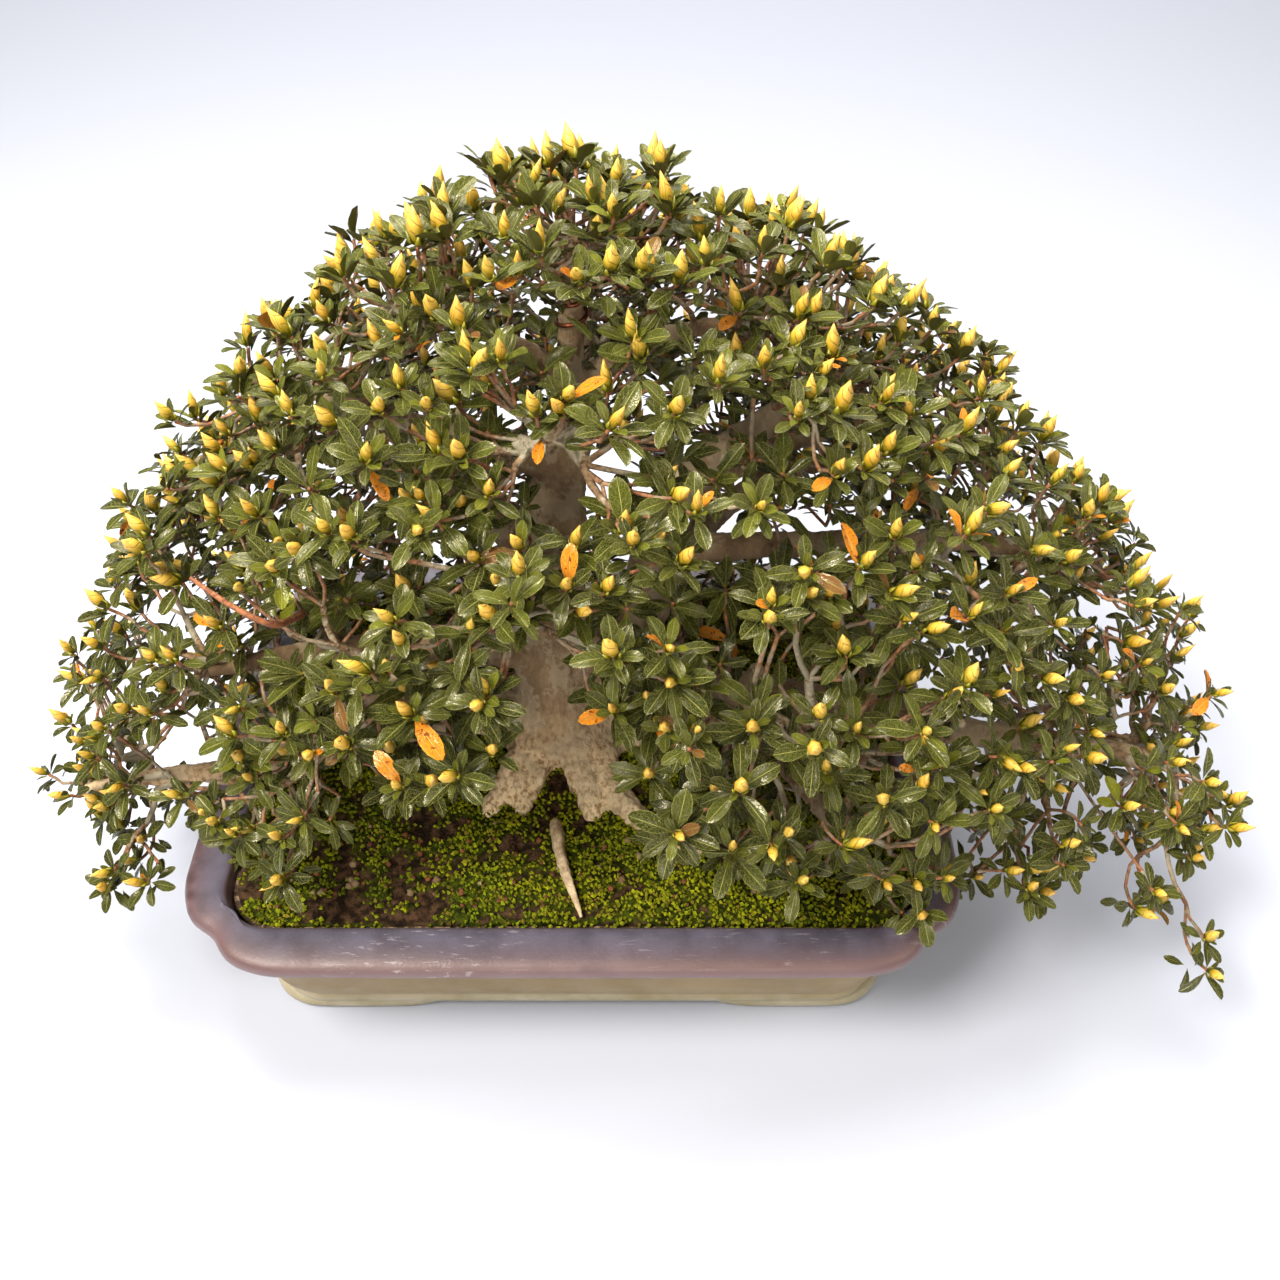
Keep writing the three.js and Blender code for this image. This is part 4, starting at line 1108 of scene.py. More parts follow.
def thinned(candidates, looseness, kept=()):
    """Dart throwing: candidates that lie further than the spacing from all that are kept."""
    taken, first = np.array(kept).reshape(-1, 3), len(kept)
    for place in candidates:
        spacing = looseness * np.interp(place[2], (150, 380), (SPACING_LOW, SPACING_TOP))
        if not len(taken) or ((taken - place) ** 2).sum(1).min() > spacing**2:
            taken = np.vstack([taken, place])
    return taken[first:]


def companions(places):
    """None, one or two more tips beside each, a little further in."""
    more = []
    for place in places:
        for _ in range(int(rng.choice(3, p=COMPANIONS))):
            aside = rng.normal(0, 1, 3) * (1, 1, 0.6)
            inward = unit(DOME_MIDDLE - place)
            more.append(place + unit(unit(aside) + 0.35 * inward) * rng.uniform(*COMPANION_GAP))
    return np.array(more)


outer = thinned(on_crown(*LAYERS["outer"]), 1.0)
beside = companions(outer)
middle_layer = thinned(on_crown(*LAYERS["middle"]), 0.9, np.vstack([outer, beside]))
deep_layer = thinned(on_crown(*LAYERS["deep"]), 1.12, np.vstack([outer, beside, middle_layer]))
hanging = []
for place in HANGING:
    cloud = np.array(place) + rng.normal(0, 1, (60, 3)) * SPRIG_CLOUD
    hanging += list(thinned(cloud, 0.5, np.vstack([outer, beside] + hanging[-1:]))[:PER_SPRIG])
layers = [outer, beside, middle_layer, deep_layer, np.array(hanging)]
tips = np.vstack(layers)
tips[:, 1] = np.minimum(tips[:, 1], BACK_MOST)
layer_of = np.repeat((0, 1, 2, 3, 0), [len(places) for places in layers])
seen_at = in_view(tips)
away = seen_at - VIEW_MIDDLE
away /= np.linalg.norm(away, axis=1)[:, None]
notch = np.array([noise.noise(Vector((x / EDGE_LUMP, y / EDGE_LUMP, 2.0))) for x, y in seen_at])
wanted = inside_edge(CROWN_EDGE, seen_at + away * (EDGE_RAGGED * notch)[:, None])
in_front = (layer_of < 3) & (tips[:, 1] < 0)
for openings, may_close in ((WINDOWS, np.ones(len(tips), bool)), (HOLLOWS, in_front)):
    for x, y, half_wide, half_high in openings:
        off = ((seen_at[:, 0] - x) / half_wide) ** 2 + ((seen_at[:, 1] - y) / half_high) ** 2
        wanted &= ~(may_close & (off < 1))
tips, layer_of = tips[wanted], layer_of[wanted]
print("rosettes outside, beside, between, deep and hanging:", [len(places) for places in layers])
print("kept inside the crown's edge and off its windows:", len(tips))

# %% [markdown]
# Each rosette belongs to the nearest modelled spray and looks outward and up, towards the light. Its twig
# is found backwards: neighbouring tips are gathered by threes and fours into a fork a little nearer to the
# wood, the forks are gathered again, and the last forks are joined to the nearest bough. A fork's
# thickness follows the old rule that a stem's section is the sum of what it carries.

# %% Twigs
spray_names = sorted(name for name in frame["nodes"] if name.startswith("spray_"))
spray_middles = []
for name in spray_names:
    low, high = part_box(name)
    spray_middles.append([((low[k] + high[k]) / 2 - TRAY_MIDDLE[k]) * 1000 for k in range(3)])
owner = np.argmin(((tips[:, None] - np.array(spray_middles)[None]) ** 2).sum(2), axis=1)

WOOD_FROM = 98  # mm, under which no twig starts
wood_line = []
for route, _ in [TRUNK] + list(BOUGHS.values()):
    wood_line += [place for place in along_route(route, np.linspace(0.06, 1, 60)) if place[2] > WOOD_FROM]
wood_finder = kdtree.KDTree(len(wood_line))
for k, place in enumerate(wood_line):
    wood_finder.insert(place, k)
wood_finder.balance()
GATHER = [(24, 14), (36, 20), (52, 28)]  # how far apart forks may be gathered, and the step to the wood, mm
TIP_RADIUS = 0.9
LAST_GOALS = 9  # the last fork of a twig may join any of so many places on the wood


def facing(place, chance):
    outward = unit((place - DOME_MIDDLE) / DOME_HALF**2)
    return unit(outward + (0, 0, 1.15) + chance.normal(0, 0.26, 3))


def grown_twigs(tip_places, axes, chance):
    """Pairs of (start, end, load at start, load at end) for the twigs of one spray."""
    feet = []
    for tip, axis in zip(tip_places, axes):
        from_wood = unit(tip - np.array(wood_finder.find(tip)[0]))
        feet.append(tip - unit(0.6 * axis + 0.7 * from_wood) * chance.uniform(10, 16))
    pieces = [(foot, tip, 1, 1) for foot, tip in zip(feet, tip_places)]
    forks = [(foot, 1) for foot in feet]
    for reach, step in GATHER:
        left, forks = forks, []
        while left:
            first, load = left.pop(0)
            gaps = [np.linalg.norm(place - first) for place, _ in left]
            near = sorted((k for k, far in enumerate(gaps) if far < reach), key=gaps.__getitem__)[:3]
            if not near:
                forks.append((first, load))
                continue
            group = [(first, load)] + [left[k] for k in near]
            left = [item for k, item in enumerate(left) if k not in near]
            middle = np.mean([p for p, _ in group], axis=0)
            goal, _, gap = wood_finder.find(middle)
            joint = middle + unit(np.array(goal) - middle) * min(step, gap * 0.6)
            total = sum(n for _, n in group)
            pieces += [(joint, p, n, n) for p, n in group]
            forks.append((joint, total))
    for place, load in forks:
        goals = wood_finder.find_n(place, LAST_GOALS)
        goal = np.array(goals[int(chance.integers(0, LAST_GOALS))][0])
        pieces.append((goal, place, load * 1.3, load))
    return pieces


print("sprays:", len(spray_names), "fewest rosettes:", np.bincount(owner, minlength=len(spray_names)).min())

# %% [markdown]
# A twig isn't straight: each piece is drawn as three short lengths that sag and wander a little. The mesh
# made here holds only edges; Geometry Nodes gives it thickness from the values stored on its points.

# %% Twig lines
TWIG_PARTS = 3


def twig_lines(pieces, chance):
    points, edges, thickness, age = [], [], [], []
    for start, end, load_start, load_end in pieces:
        length = np.linalg.norm(end - start)
        bend = np.cross(end - start, chance.normal(0, 1, 3))
        bend = unit(bend) * length * chance.uniform(0.03, 0.1) - np.array((0, 0, length * 0.05))
        for k in range(TWIG_PARTS + 1):
            t = k / TWIG_PARTS
            off = bend * 4 * t * (1 - t) + (chance.normal(0, 0.35, 3) if 0 < k < TWIG_PARTS else 0)
            load = load_start + (load_end - load_start) * t
            points.append(start + (end - start) * t + off)
            thickness.append(TIP_RADIUS * load**0.47 * (1 - 0.12 * t) * 0.001)
            age.append(min(1.0, 0.3 * (load - 1) + 0.9 * (1 - t)))
            if k:
                edges.append((len(points) - 2, len(points) - 1))
    return points, edges, thickness, age


print("twig drawing ready")

# %% [markdown]
# One leaf is a closed, thin skin. Its upper side has five points across: the two edges, the sunken midrib
# and the swell of each half between them. Its lower side shares the edges and has one keel line. The blade
# is widest past its middle, narrows to a short stalk and has a blunt tip. Five leaves are made, which
# differ in fold, droop, twist and wave, and every leaf of the tree is one of them at its own size. Each is
# also made in two plainer versions, for the back and for the shaded inside of the crown, because the full
# one everywhere would cost more faces than the whole tree may have.

# %% Leaf forms
LEAF_STATIONS = [(0.0, 0.0), (0.12, 0.18), (0.36, 0.74), (0.6, 1.0), (0.8, 0.88), (0.94, 0.5), (1.0, 0.0)]
PLAIN_STATIONS = [(0.0, 0.0), (0.3, 0.62), (0.62, 1.0), (0.9, 0.62), (1.0, 0.0)]
SHADED_STATIONS = [(0.0, 0.0), (0.4, 0.85), (0.75, 0.9), (1.0, 0.0)]
LEAF_WIDE = 0.39  # greatest width for a length of 1
LEAF_THICK = 0.016


def leaf_form(name, fold, droop, twist, wave, halves, stations):
    """A leaf 1 long: its base at the origin, its length along Y and its upper side facing Z."""
    full = tuple(-u for u in reversed(halves)) + (0,) + tuple(halves)
    corners, uvs, lines = [], [], []
    for number, (v, share) in enumerate(stations):
        half = share * LEAF_WIDE / 2
        lift = -droop * v * v + 0.1 * v
        turn = twist * v
        across = full if half else (0,)
        line = []
        for u in across:
            rise = abs(u) * fold - 0.1 * u * u * u * u + (0.05 if abs(u) == 0.5 else 0)
            ripple = wave * math.sin(number * 2.1 + (1.5 if u > 0 else 0)) * u * u
            x, z = u * half, (rise + ripple) * half
            twisted = (x * math.cos(turn) - z * math.sin(turn), x * math.sin(turn) + z * math.cos(turn))
            line.append(len(corners))
            corners.append((twisted[0], v, lift + twisted[1]))
            uvs.append((0.5 + u / 2, v))
        keel = line[0]
        if half:
            keel = len(corners)
            x, y, z = corners[line[len(halves)]]
            corners.append((x, y, z - LEAF_THICK))
            uvs.append((0.5, v))
        lines.append((line, keel))
    faces, under = [], []
    for (line, keel), (next_line, next_keel) in zip(lines, lines[1:]):
        low, high = (row if len(row) > 1 else row * len(full) for row in (line, next_line))
        for k in range(len(full) - 1):
            faces.append([low[k], low[k + 1], high[k + 1], high[k]])
            under.append(False)
        for edge, other in ((line[-1], next_line[-1]), (line[0], next_line[0])):
            ring = [edge, keel, next_keel, other]
            faces.append(ring if edge == line[-1] else ring[::-1])
            under.append(True)
    slim = [list(dict.fromkeys(face)) for face in faces]
    piece = new_mesh(name, corners, slim)
    mesh = piece.data
    layer = mesh.uv_layers.new(name="UVMap")
    for polygon, below in zip(mesh.polygons, under):
        for loop in polygon.loop_indices:
            u, v = uvs[mesh.loops[loop].vertex_index]
            layer.data[loop].uv = (u, v + 1.02 if below else v * 0.98)
    rim = {frozenset((lines[k][0][i], lines[k + 1][0][i])) for k in range(len(lines) - 1) for i in (0, -1)}
    for edge in mesh.edges:
        edge.use_edge_sharp = frozenset(edge.vertices) in rim
    return piece


def gathered(name, members):
    """The forms that Geometry Nodes picks from, in a collection that isn't in the scene."""
    group = bpy.data.collections.new(name)
    for member in members:
        bpy.context.scene.collection.objects.unlink(member)
        group.objects.link(member)
    return group


LEAF_KINDS = [
    (0.35, 0.22, 0.15, 0.05), (0.55, 0.12, -0.2, 0.08), (0.22, 0.36, 0.1, 0.1), (0.7, 0.06, 0.25, 0.03),
    (0.4, 0.28, -0.3, 0.08),
]  # fold, droop, twist and wave
LEAF_VERSIONS = [
    ("leaf_form", (0.5, 1), LEAF_STATIONS),
    ("leaf_plain", (1,), PLAIN_STATIONS),
    ("leaf_shaded", (1,), SHADED_STATIONS),
]
versions = []
for label, halves, stations in LEAF_VERSIONS:
    named_kinds = [("%s_%d" % (label, k), kind) for k, kind in enumerate(LEAF_KINDS)]
    versions.append([leaf_form(name, *kind, halves, stations) for name, kind in named_kinds])
leaf_forms = gathered("leaf_forms", sum(versions, []))
print("triangles in a leaf:", [triangles(forms[0]) for forms in versions])

# %% [markdown]
# A winter bud stands in the middle of most rosettes. It is a slim spindle, widest a third of the way up,
# whose scales wrap it in a slow spiral, and three short bracts clasp its foot. The spindle is a lathe with
# a ripple that turns as it climbs. The bud's UV map gives its scales their seams and its tip its colour.

# %% Bud form
BUD_PROFILE = [(0.0, 0.0), (0.04, 0.36), (0.2, 0.7), (0.4, 1.0), (0.6, 0.86), (0.82, 0.36), (1.0, 0.0)]
BUD_SIDES, BUD_WIDE, BRACTS = 6, 0.36, 3
BRACT = [
    (0, 0, 0.2, 0.0), (-0.1, 0.1, 0.8, 0.02), (0, 0.4, 1.22, 0.12), (0.1, 0.1, 0.8, 0.02),
    (0, 0.12, 1.12, 0.05), (0, 0.1, 0.6, 0.02),
]  # each corner's place along the bud's two axes, its share of the bud's radius, and its V
BRACT_FACES = [(0, 1, 4), (1, 2, 4), (2, 3, 4), (3, 0, 4), (1, 0, 5), (2, 1, 5), (3, 2, 5), (0, 3, 5)]


def bud_form(name, plump, lean):
    """A bud 1 long, standing on the origin along Y."""
    corners, uvs, faces, rings = [], [], [], []
    for v, share in BUD_PROFILE:
        ring = []
        for i in range(BUD_SIDES if share else 1):
            turn = math.tau * i / BUD_SIDES
            reach = share * BUD_WIDE / 2 * plump * (1 + 0.1 * math.cos(3 * turn + 5 * v))
            ring.append(len(corners))
            corners.append((math.cos(turn) * reach + lean * v * v, v, -math.sin(turn) * reach))
            uvs.append((i / BUD_SIDES, v))
        rings.append(ring)
    for ring, above in zip(rings, rings[1:]):
        for i in range(BUD_SIDES):
            j = (i + 1) % BUD_SIDES
            a, b = (ring[0], ring[0]) if len(ring) == 1 else (ring[i], ring[j])
            c, d = (above[0], above[0]) if len(above) == 1 else (above[j], above[i])
            faces.append(list(dict.fromkeys((a, b, c, d))))
    for k in range(BRACTS):
        turn = Matrix.Rotation(math.tau * (k + 0.2) / BRACTS, 3, "Y")
        reach = BUD_WIDE / 2 * plump
        first = len(corners)
        corners += [tuple(turn @ Vector((x, y, share * reach))) for x, y, share, _ in BRACT]
        uvs += [(0.5, v) for *_, v in BRACT]
        faces += [tuple(first + k for k in face) for face in BRACT_FACES]
    piece = new_mesh(name, corners, faces)
    layer = piece.data.uv_layers.new(name="UVMap")
    for loop in piece.data.loops:
        layer.data[loop.index].uv = uvs[loop.vertex_index]
    return piece


BUD_KINDS = [(1.0, 0.0), (1.12, 0.05), (0.84, -0.08)]
bud_forms = gathered("bud_forms", [bud_form("bud_form_%d" % k, *kind) for k, kind in enumerate(BUD_KINDS)])

# %% [markdown]
# One tree of nodes dresses every spray. It gives the twig lines their thickness, puts a leaf on every leaf
# point and a bud on every bud point, each picked, turned and sized by values stored on that point, and
# makes the whole into one plain mesh with three finishes.

# %% The leafy spray as a tree of nodes
leafy, given, result = geometry_tree(
    "leafy_spray",
    [
        ("Leaf Points", "NodeSocketObject"), ("Leaves", "NodeSocketCollection"),
        ("Leaf", "NodeSocketMaterial"), ("Bud Points", "NodeSocketObject"),
        ("Buds", "NodeSocketCollection"), ("Bud", "NodeSocketMaterial"),
        ("Twig Sides", "NodeSocketInt"), ("Bark", "NodeSocketMaterial"),
    ],
)
lines = put(leafy, "GeometryNodeMeshToCurve", {"Mesh": given["Geometry"]})
outline = put(leafy, "GeometryNodeCurvePrimitiveCircle", {"Resolution": given["Twig Sides"], "Radius": 1.0})
swept_twigs = put(
    leafy,
    "GeometryNodeCurveToMesh",
    {
        "Curve": lines.outputs[0],
        "Profile Curve": outline.outputs[0],
        "Scale": stored(leafy, "thickness"),
        "Fill Caps": True,
    },
)
smooth = put(leafy, "GeometryNodeSetShadeSmooth", {"Geometry": swept_twigs.outputs[0]})
barked = {"Geometry": smooth.outputs[0], "Material": given["Bark"]}
dressed = [put(leafy, "GeometryNodeSetMaterial", barked)]
for points, forms, finish in (("Leaf Points", "Leaves", "Leaf"), ("Bud Points", "Buds", "Bud")):
    where = put(leafy, "GeometryNodeObjectInfo", {"Object": given[points]})
    from_group = {"Collection": given[forms], "Separate Children": True}
    kinds = put(leafy, "GeometryNodeCollectionInfo", from_group)
    placed = put(
        leafy,
        "GeometryNodeInstanceOnPoints",
        {
            "Points": where.outputs["Geometry"],
            "Instance": kinds.outputs[0],
            "Pick Instance": True,
            "Instance Index": stored(leafy, "kind", "INT"),
            "Rotation": stored(leafy, "turn", "FLOAT_VECTOR"),
            "Scale": stored(leafy, "size", "FLOAT_VECTOR"),
        },
    )
    real = put(leafy, "GeometryNodeRealizeInstances", {"Geometry": placed.outputs[0]})
    coated = {"Geometry": real.outputs[0], "Material": given[finish]}
    dressed.append(put(leafy, "GeometryNodeSetMaterial", coated))
whole = leafy.nodes.new("GeometryNodeJoinGeometry")
for part in dressed:
    leafy.links.new(part.outputs[0], whole.inputs[0])
leafy.links.new(whole.outputs[0], result)
print("nodes in the tree:", len(leafy.nodes))

# %% [markdown]
# A rosette is a whorl of four to seven full leaves held low and open, up to four small new ones standing
# in its middle, and up to three older ones further down the twig. Leaves are smaller at the crown's far
# ends, and at the top they stand steeper. Colour is stored leaf by leaf: a dark olive green for most,
# brighter for the newest, bronze for a rare few and orange for the old ones that are about to fall.

# %% Leaves and buds of one rosette
DARK, GREYISH, BRIGHT, BRONZE, OLD = (15, 25, 1), (56, 64, 6), (138, 143, 8), (116, 66, 34), (244, 140, 16)
BUD_CHANCE = (0.97, 0.75, 0.5, 0.1)  # on the outside, beside, between and deep
BRONZE_CHANCE, OLD_CHANCE = 0.004, 0.008


def frame_of(along, up):
    """The turn that puts Y along the leaf and Z on its upper side, as Euler angles."""
    along = Vector(along).normalized()
    up = Vector(up)
    up = (up - up.dot(along) * along).normalized()
    side = along.cross(up)
    return tuple(Matrix((side, along, up)).transposed().to_euler())


def blade_colour(chance, new_share):
    if chance.uniform() < BRONZE_CHANCE:
        return seen(*BRONZE)
    shade = np.array(DARK) + (np.array(GREYISH) - DARK) * chance.uniform()
    return seen(*(shade + (np.array(BRIGHT) - shade) * new_share))


def rosette(tip, axis, layer, chance):
    """Leaf rows and bud rows for one tip, each a dictionary of the values stored on its point."""
    leaves, buds = [], []
    side = unit(np.cross(axis, chance.normal(0, 1, 3)))
    other = np.cross(axis, side)
    high_up = float(np.interp(tip[2], (150, 380), (0, 1)))
    freshness = max(0.0, chance.normal(0.02 + 0.12 * high_up, 0.06))
    low_down = float(np.interp(tip[2], (100, 190), (1, 0)))
    far_out = min(1.0, abs(tip[0] - 40) / 240)
    strength = chance.uniform(0.82, 1.1) * (1 - 0.14 * high_up - 0.16 * low_down - 0.14 * far_out**1.5)
    steeper = 4 + 26 * high_up
    whorl = int(chance.integers(4, 6) if layer == 1 else chance.integers(5, 8))
    plan = [
        (k / whorl, steeper + chance.normal(8, 13), chance.uniform(13.5, 21), -chance.uniform(0.2, 3))
        for k in range(whorl)
    ]  # each leaf's share of the turn, its rise in degrees, its length and its place along the twig in mm
    small = int(chance.integers(2, 5) if layer < 2 else chance.integers(0, 2))
    plan += [
        ((k + 0.4) / small, chance.uniform(38, 66), chance.uniform(8, 12 + 4 * high_up), 0.2)
        for k in range(small)
    ]
    lower = int(chance.integers(1, 4) if layer in (0, 2) else chance.integers(0, 2))
    plan += [
        ((k + 0.25) / lower, chance.uniform(-25, 25), chance.uniform(11, 18), -chance.uniform(5, 13))
        for k in range(lower)
    ]
    first = chance.uniform()
    version = 2 if layer == 3 else 1 if layer == 2 or tip[1] > 30 else 0
    for number, (share, rise, length, down) in enumerate(plan):
        turn = math.tau * (first + share) + chance.normal(0, 0.24)
        out = side * math.cos(turn) + other * math.sin(turn)
        lift = math.radians(rise)
        along = out * math.cos(lift) + axis * math.sin(lift)
        up = axis * math.cos(lift) - out * math.sin(lift) + chance.normal(0, 0.2, 3) + (0, 0, 0.25)
        young = whorl <= number < whorl + small
        length *= strength
        leaves.append({
            "place": tip + axis * down + out * 0.8,
            "turn": frame_of(along, up),
            "size": (length * chance.uniform(0.86, 1.12) * 0.001, length * 0.001, length * 0.001),
            "kind": int(chance.integers(0, len(LEAF_KINDS))) + len(LEAF_KINDS) * version,
            "blade": blade_colour(chance, min(1.0, freshness + (chance.uniform(0.15, 0.6) if young else 0))),
            "old": 0.0,
        })
        if chance.uniform() < OLD_CHANCE:
            leaves[-1].update(blade=seen(*OLD), old=1.0)
    if chance.uniform() < BUD_CHANCE[layer]:
        along = unit(axis + chance.normal(0, 0.16, 3))
        length = chance.uniform(10.5, 15.5) * (1 + 0.12 * high_up)
        buds.append({
            "place": tip + axis * 0.4,
            "turn": frame_of(along, side),
            "size": (length * 0.001,) * 3,
            "kind": int(chance.integers(0, len(BUD_KINDS))),
            "ripe": float(chance.uniform()),
        })
    return leaves, buds


print("rosette recipe ready")

# %% [markdown]
# Geometry Nodes read the rosettes from points. Each leaf or bud becomes one loose point, and everything
# that is known of it is stored on that point as a named attribute of the right kind.

# %% Points for leaves and buds
POINT_VALUES = {
    "turn": "FLOAT_VECTOR", "size": "FLOAT_VECTOR", "kind": "INT", "blade": "FLOAT_COLOR", "old": "FLOAT",
    "ripe": "FLOAT",
}


def store(mesh, name, kind, values):
    layer = mesh.attributes.new(name, kind, "POINT")
    field = {"FLOAT_VECTOR": "vector", "FLOAT_COLOR": "color"}.get(kind, "value")
    layer.data.foreach_set(field, np.array(values, float if kind != "INT" else int).ravel())


def points_of(name, rows):
    piece = new_mesh(name, at([row["place"] for row in rows]))
    for key in rows[0]:
        if key != "place":
            store(piece.data, key, POINT_VALUES[key], [row[key] for row in rows])
    return piece


print("point values:", list(POINT_VALUES))

# %% [markdown]
# Each spray draws its rosettes and twigs from a seed of its own, so that a change to one leaves the others
# as they are. Old leaves turn orange one at a time before they drop, so about two dozen places on the
# outside of the crown are named and the nearest leaf there is made old. Two bright young shoots are named
# in the same way.

# %% All leaves, spray by spray
OLD_LARGER = 1.15
FRONT_REACH, YOUNG_REACH = 18, 16  # how near to a named place a leaf is looked for, in the camera's view
OLD_LEAVES = [
    (718, 315), (849, 357), (597, 387), (843, 533), (568, 563), (615, 709), (434, 726), (383, 765),
    (315, 766), (916, 506), (942, 521), (980, 520), (958, 637), (912, 776), (820, 494), (757, 440),
    (935, 467), (257, 320), (705, 490), (776, 597), (386, 493), (571, 262), (543, 452), (1205, 697),
]  # in the camera's own 1280 by 1280 view
YOUNG_SHOOTS = [(1110, 790), (290, 600)]
sprays = {}
for number, name in enumerate(spray_names):
    chance = np.random.default_rng(100 + number)
    mine, its_layers = tips[owner == number], layer_of[owner == number]
    axes = [facing(tip, chance) for tip in mine]
    rosettes = [rosette(tip, axis, layer, chance) for tip, axis, layer in zip(mine, axes, its_layers)]
    leaves = [leaf for some, _ in rosettes for leaf in some]
    buds = [bud for _, some in rosettes for bud in some]
    sprays[name] = (twig_lines(grown_twigs(mine, axes, chance), chance), leaves, buds)

every_leaf = [leaf for _, leaves, _ in sprays.values() for leaf in leaves]
leaf_places = []
for leaf in every_leaf:
    half_way = np.array(Euler(leaf["turn"]).to_matrix().col[1]) * leaf["size"][1] * 500
    leaf_places.append(leaf["place"] + half_way)
leaf_places = np.array(leaf_places)
leaf_seen = in_view(leaf_places)
toward_eye = np.linalg.norm(leaf_places - EYE, axis=1)


def front_leaf(x, y, reach=FRONT_REACH):
    """The leaf nearest to the camera among those close to a place in its view."""
    close = np.where(np.hypot(leaf_seen[:, 0] - x, leaf_seen[:, 1] - y) < reach)[0]
    return every_leaf[close[np.argmin(toward_eye[close])]] if len(close) else None


for x, y in OLD_LEAVES:
    leaf = front_leaf(x, y)
    if leaf:
        leaf["blade"], leaf["old"] = seen(*OLD), 1.0
        leaf["size"] = tuple(OLD_LARGER * v for v in leaf["size"])
for x, y in YOUNG_SHOOTS:
    for k in np.where(np.hypot(leaf_seen[:, 0] - x, leaf_seen[:, 1] - y) < YOUNG_REACH)[0]:
        every_leaf[k]["blade"] = seen(*BRIGHT)
print("leaves:", len(every_leaf), "buds:", sum(len(buds) for _, _, buds in sprays.values()))

# %% [markdown]
# Now every spray is grown. Its twig lines become the object that carries the modifier, and its leaf and bud
# points and the shared forms are handed to the tree of nodes as inputs. The result takes the place of the
# spray's solid.

# %% Sprays
TWIG_SIDES = 5
leafy_triangles = 0
for name, ((points, edges, thickness, age), leaves, buds) in sprays.items():
    stems = new_mesh("stems", at(points), edges=edges)
    store(stems.data, "thickness", "FLOAT", thickness)
    store(stems.data, "age", "FLOAT", age)
    leaf_points, bud_points = points_of("leaf_points", leaves), points_of("bud_points", buds)
    values = {"Leaf Points": leaf_points, "Bud Points": bud_points, "Leaves": leaf_forms, "Buds": bud_forms}
    values.update({"Twig Sides": TWIG_SIDES, "Bark": twig_bark, "Leaf": leaf_green, "Bud": bud_skin})
    spray = grown(stems, leafy, values, "leafy_" + name)
    bpy.data.objects.remove(leaf_points)
    bpy.data.objects.remove(bud_points)
    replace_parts(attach(spray, "root"), name)
    leafy_triangles += triangles(spray)
print("triangles in the sprays:", leafy_triangles)

# %% [markdown]
# Small things finish the tree. A short coil of copper training wire still holds the leader, a bare dead
# root shows in front of the trunk, a dead twig grey with lichen crosses the trunk's middle, and one long
# shoot at the left has lost its leaves and shows its red bark. Each one is a swept line, so the limb
# drawing above makes them all.

# %% Wire, dead root and bare twigs
copper, tree, surface, place = new_material("copper_wire", 0.38, Metallic=1.0)
tarnish = cloudy(tree, place, 300.0, 0.35, 0.65)
coloured(tree, surface, mixed(tree, tarnish, seen(150, 84, 56), seen(92, 56, 44)))
bumped(tree, surface, tarnish, 0.0001)

WIRE_TURNS, WIRE_FROM, WIRE_TO = 3, 0.84, 0.94  # from and to are shares along the trunk
WIRE_RADIUS, WIRE_CLEAR = 0.9, 0.5  # mm
share = np.linspace(WIRE_FROM, WIRE_TO, 85)
middles = along_route(TRUNK[0], share)
radius_there = np.interp(share * (len(TRUNK[1]) - 1), range(len(TRUNK[1])), TRUNK[1])
turns = np.linspace(0, WIRE_TURNS * math.tau, len(share))
reach = radius_there + WIRE_RADIUS + WIRE_CLEAR
coil = middles + np.stack([np.cos(turns) * reach, np.sin(turns) * reach, 0 * turns], -1)


def swept(name, route, radii, sides, steps, material, flute=0.0, seed=0.0):
    piece = lofted(name, limb_rings(route, radii, sides, steps, flute, seed), material)
    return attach(piece, "root")


wire = swept("training_wire_coil", coil, [WIRE_RADIUS] * 2, 10, 120, copper)
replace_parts(wire, "training_wire")
DEAD_ROOT = [(-11, -60, 80), (-9, -69, 90.5), (-5, -90, 90), (1, -107, 87), (5, -118, 84)]
root = swept("bare_root", DEAD_ROOT, [2.0, 3.3, 2.8, 1.8, 0.7], 20, 60, pale_wood, 0.07, 3)
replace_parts(root, "dead_root")
LICHEN_TWIG = [
    (-12, -20, 183), (8, -42, 197), (26, -56, 206), (41, -62, 208), (55, -67, 211), (67, -70, 213.5),
]
swept("lichen_twig", LICHEN_TWIG, [2.6, 2.3, 2.1, 1.8, 1.5, 1.1], 10, 50, bark, 0.12, 5)
RED_SHOOT = [(-112, -62, 226), (-117, -84, 240), (-132, -84, 250), (-149, -76, 258)]
swept("red_shoot", RED_SHOOT, [1.8, 1.5, 1.2, 0.9], 8, 30, twig_bark, 0.06, 2)
print("coil's first and last point:", coil[0].round(1), coil[-1].round(1))

# %% [markdown]
# The square meshes over the drain holes keep their modelled shape. Black plastic only needs a finish, and
# a checker of bumps stands for the weave that can't be seen unless the tray is emptied.

# %% Drain meshes
black_plastic, tree, surface, place = new_material("black_plastic", 0.55)
surface["Base Color"].default_value = seen(26, 26, 28)
weave = put(tree, "ShaderNodeTexChecker", {"Vector": place, "Scale": 500.0}).outputs["Fac"]
bumped(tree, surface, weave, 0.0004)
for name in ("drain_mesh_left", "drain_mesh_right"):
    node = frame["nodes"][name]
    node.data.materials.clear()
    node.data.materials.append(black_plastic)
print("drain meshes finished")

# %% [markdown]
# A watered bed is never clean. Crumbs of pumice and akadama have washed out at the front, and dry bud
# scales and bits of leaf lie on the moss. They are small lumps and curled flakes, drawn at random from one
# seed and set on the moss at their own height.

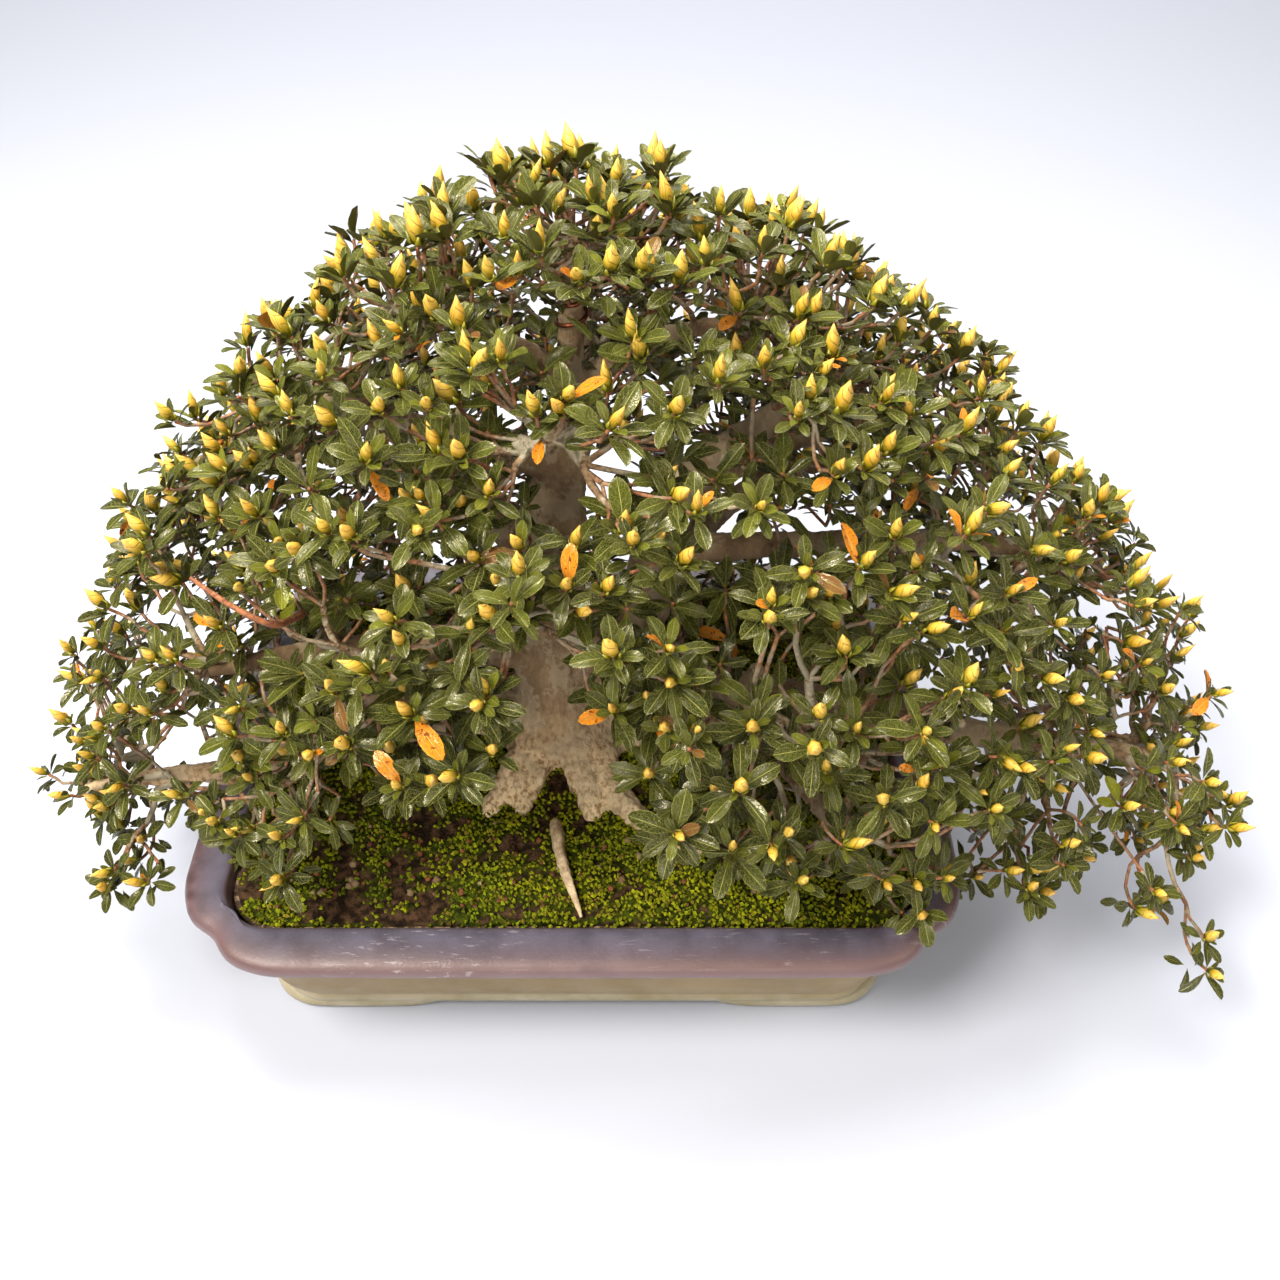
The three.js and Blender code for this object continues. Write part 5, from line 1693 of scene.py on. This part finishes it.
# %% Litter on the bed
def litter_material(name, roughness, scale, low, high, pale, deep, **constants):
    """Two colours in cloudy patches, which is all that pieces this small can show."""
    material, tree, surface, place = new_material(name, roughness, **constants)
    tint = cloudy(tree, place, scale, low, high)
    coloured(tree, surface, mixed(tree, tint, pale, deep))
    return material, tree, surface, place, tint


grit, tree, surface, place, _ = litter_material(
    "pumice_grit", 0.9, 45.0, 0.3, 0.7, seen(150, 132, 100), seen(104, 76, 50)
)
grained(tree, surface, place, 900.0, 0.0004)
akadama, tree, surface, place, _ = litter_material(
    "akadama", 0.95, 60.0, 0.35, 0.65, seen(128, 78, 50), seen(66, 44, 32), Specular_IOR_Level=0.2
)
grained(tree, surface, place, 900.0, 0.0004)
dry_leaf, tree, surface, _, tint = litter_material(
    "dry_leaf", 0.8, 150.0, 0.35, 0.65, seen(126, 66, 36), seen(88, 48, 30)
)
bumped(tree, surface, tint, 0.0003)


TRUNK_FOOT, TRUNK_CLEAR = (-5, -25), 52  # mm
CRUMB_ROWS, CRUMB_SIDES = 4, 7


def crumb(middle, size, seed, squash):
    """A rough lump: a small lathe whose points are pushed about by noise."""
    corners, faces, rows, sides = [], [], CRUMB_ROWS, CRUMB_SIDES
    for r in range(rows + 1):
        lift = math.pi * r / rows
        for i in range(sides if 0 < r < rows else 1):
            turn = math.tau * i / sides
            level = math.sin(lift)
            way = Vector((level * math.cos(turn), level * math.sin(turn), -math.cos(lift)))
            reach = size * (1 + 0.7 * noise.noise(way * 1.3 + Vector((seed, 0, 0))))
            offset = (way.x * reach, way.y * reach, way.z * reach * squash)
            corners.append(tuple(m + o for m, o in zip(middle, offset)))
    start = [0] + [1 + k * sides for k in range(rows - 1)] + [len(corners) - 1]
    for i in range(sides):
        j = (i + 1) % sides
        faces.append((0, start[1] + j, start[1] + i))
        for low, high in zip(start[1:], start[2:-1]):
            faces.append((low + i, low + j, high + j, high + i))
        faces.append((start[rows - 1] + i, start[rows - 1] + j, start[rows]))
    return corners, faces


def scattered(name, count, size, squash, area, seed, material):
    """Lumps over an oblong of the bed, kept off the trunk's foot."""
    chance = np.random.default_rng(seed)
    corners, faces = [], []
    x, y = chance.uniform(*area[0], count), chance.uniform(*area[1], count)
    clear = np.hypot(x - TRUNK_FOOT[0], y - TRUNK_FOOT[1]) > TRUNK_CLEAR
    for k, middle in enumerate(np.stack([x, y, moss_height(x, y) + size * 0.5], 1)[clear]):
        some, sides = crumb(middle, size * chance.uniform(0.5, 1.3), float(k), squash)
        faces += [tuple(i + len(corners) for i in face) for face in sides]
        corners += some
    piece = new_mesh(name, at(corners), faces, material)
    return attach(piece, "root")


scattered("akadama_crumbs", 110, 1.3, 0.8, ((-150, 60), (-112, -62)), 14, akadama)
scattered("pumice_crumbs", 34, 1.8, 0.75, ((-145, 140), (-104, -60)), 11, grit)
scattered("pumice_crumbs_at_the_back", 40, 1.9, 0.75, ((-145, 145), (-60, 104)), 12, grit)
scattered("dry_bud_scales", 60, 2.2, 0.28, ((-145, 140), (-106, 100)), 13, dry_leaf)
print("litter scattered")

# %% [markdown]
# The setting is plain: a pale floor, a faint even light from everywhere and five large soft lamps. The key
# lamp is high at the left and front, which puts the glints on the leaves. The fill opens the shadows on the
# right, the front lamp shows the trunk and the tray, the top lamp lights the crown's upper leaves, and the
# back one lights the floor behind the tree.

# %% Floor, light and world
FLOOR_HALF = 14  # metres
corners = [(x * FLOOR_HALF, y * FLOOR_HALF, 0) for x, y in ((-1, -1), (1, -1), (1, 1), (-1, 1))]
floor = new_mesh("floor", corners, [(0, 1, 2, 3)], smooth=False)
floor_paint, _, floor_surface, _ = new_material("pale_floor", 0.9)
floor_surface["Base Color"].default_value = seen(175, 180, 195)
floor.data.materials.append(floor_paint)


def lamp(name, place, aim, width, watts, colour=(1.0, 0.945, 0.85)):
    light = bpy.data.lights.new(name, "AREA")
    light.color = colour
    light.shape, light.size, light.size_y, light.energy = "RECTANGLE", width, width * 0.7, watts
    shown = bpy.data.objects.new(name, light)
    shown.location = place
    shown.rotation_euler = (Vector(aim) - Vector(place)).to_track_quat("-Z", "Y").to_euler()
    bpy.context.scene.collection.objects.link(shown)


lamp("key", (-0.9, -0.7, 1.7), (0, 0, 0.15), 0.8, 64)
lamp("fill", (1.3, -0.5, 1.2), (0, 0, 0.2), 1.2, 10)
lamp("front", (-0.1, -1.5, 0.75), (0, 0, 0.1), 0.8, 13)
lamp("top", (-0.1, 0.25, 1.3), (0, 0, 0.3), 0.7, 22)
lamp("back", (0.0, 2.2, 1.8), (0, 1.4, 0), 3.0, 66, (0.97, 0.96, 0.93))
world = bpy.data.worlds.new("studio")
world.use_nodes = True
sky = world.node_tree.nodes["Background"].inputs
sky["Color"].default_value, sky["Strength"].default_value = (1.0, 0.93, 0.8, 1), 0.18
bpy.context.scene.world = world
bpy.context.scene.view_settings.view_transform = "Standard"
print("floor and lights ready")
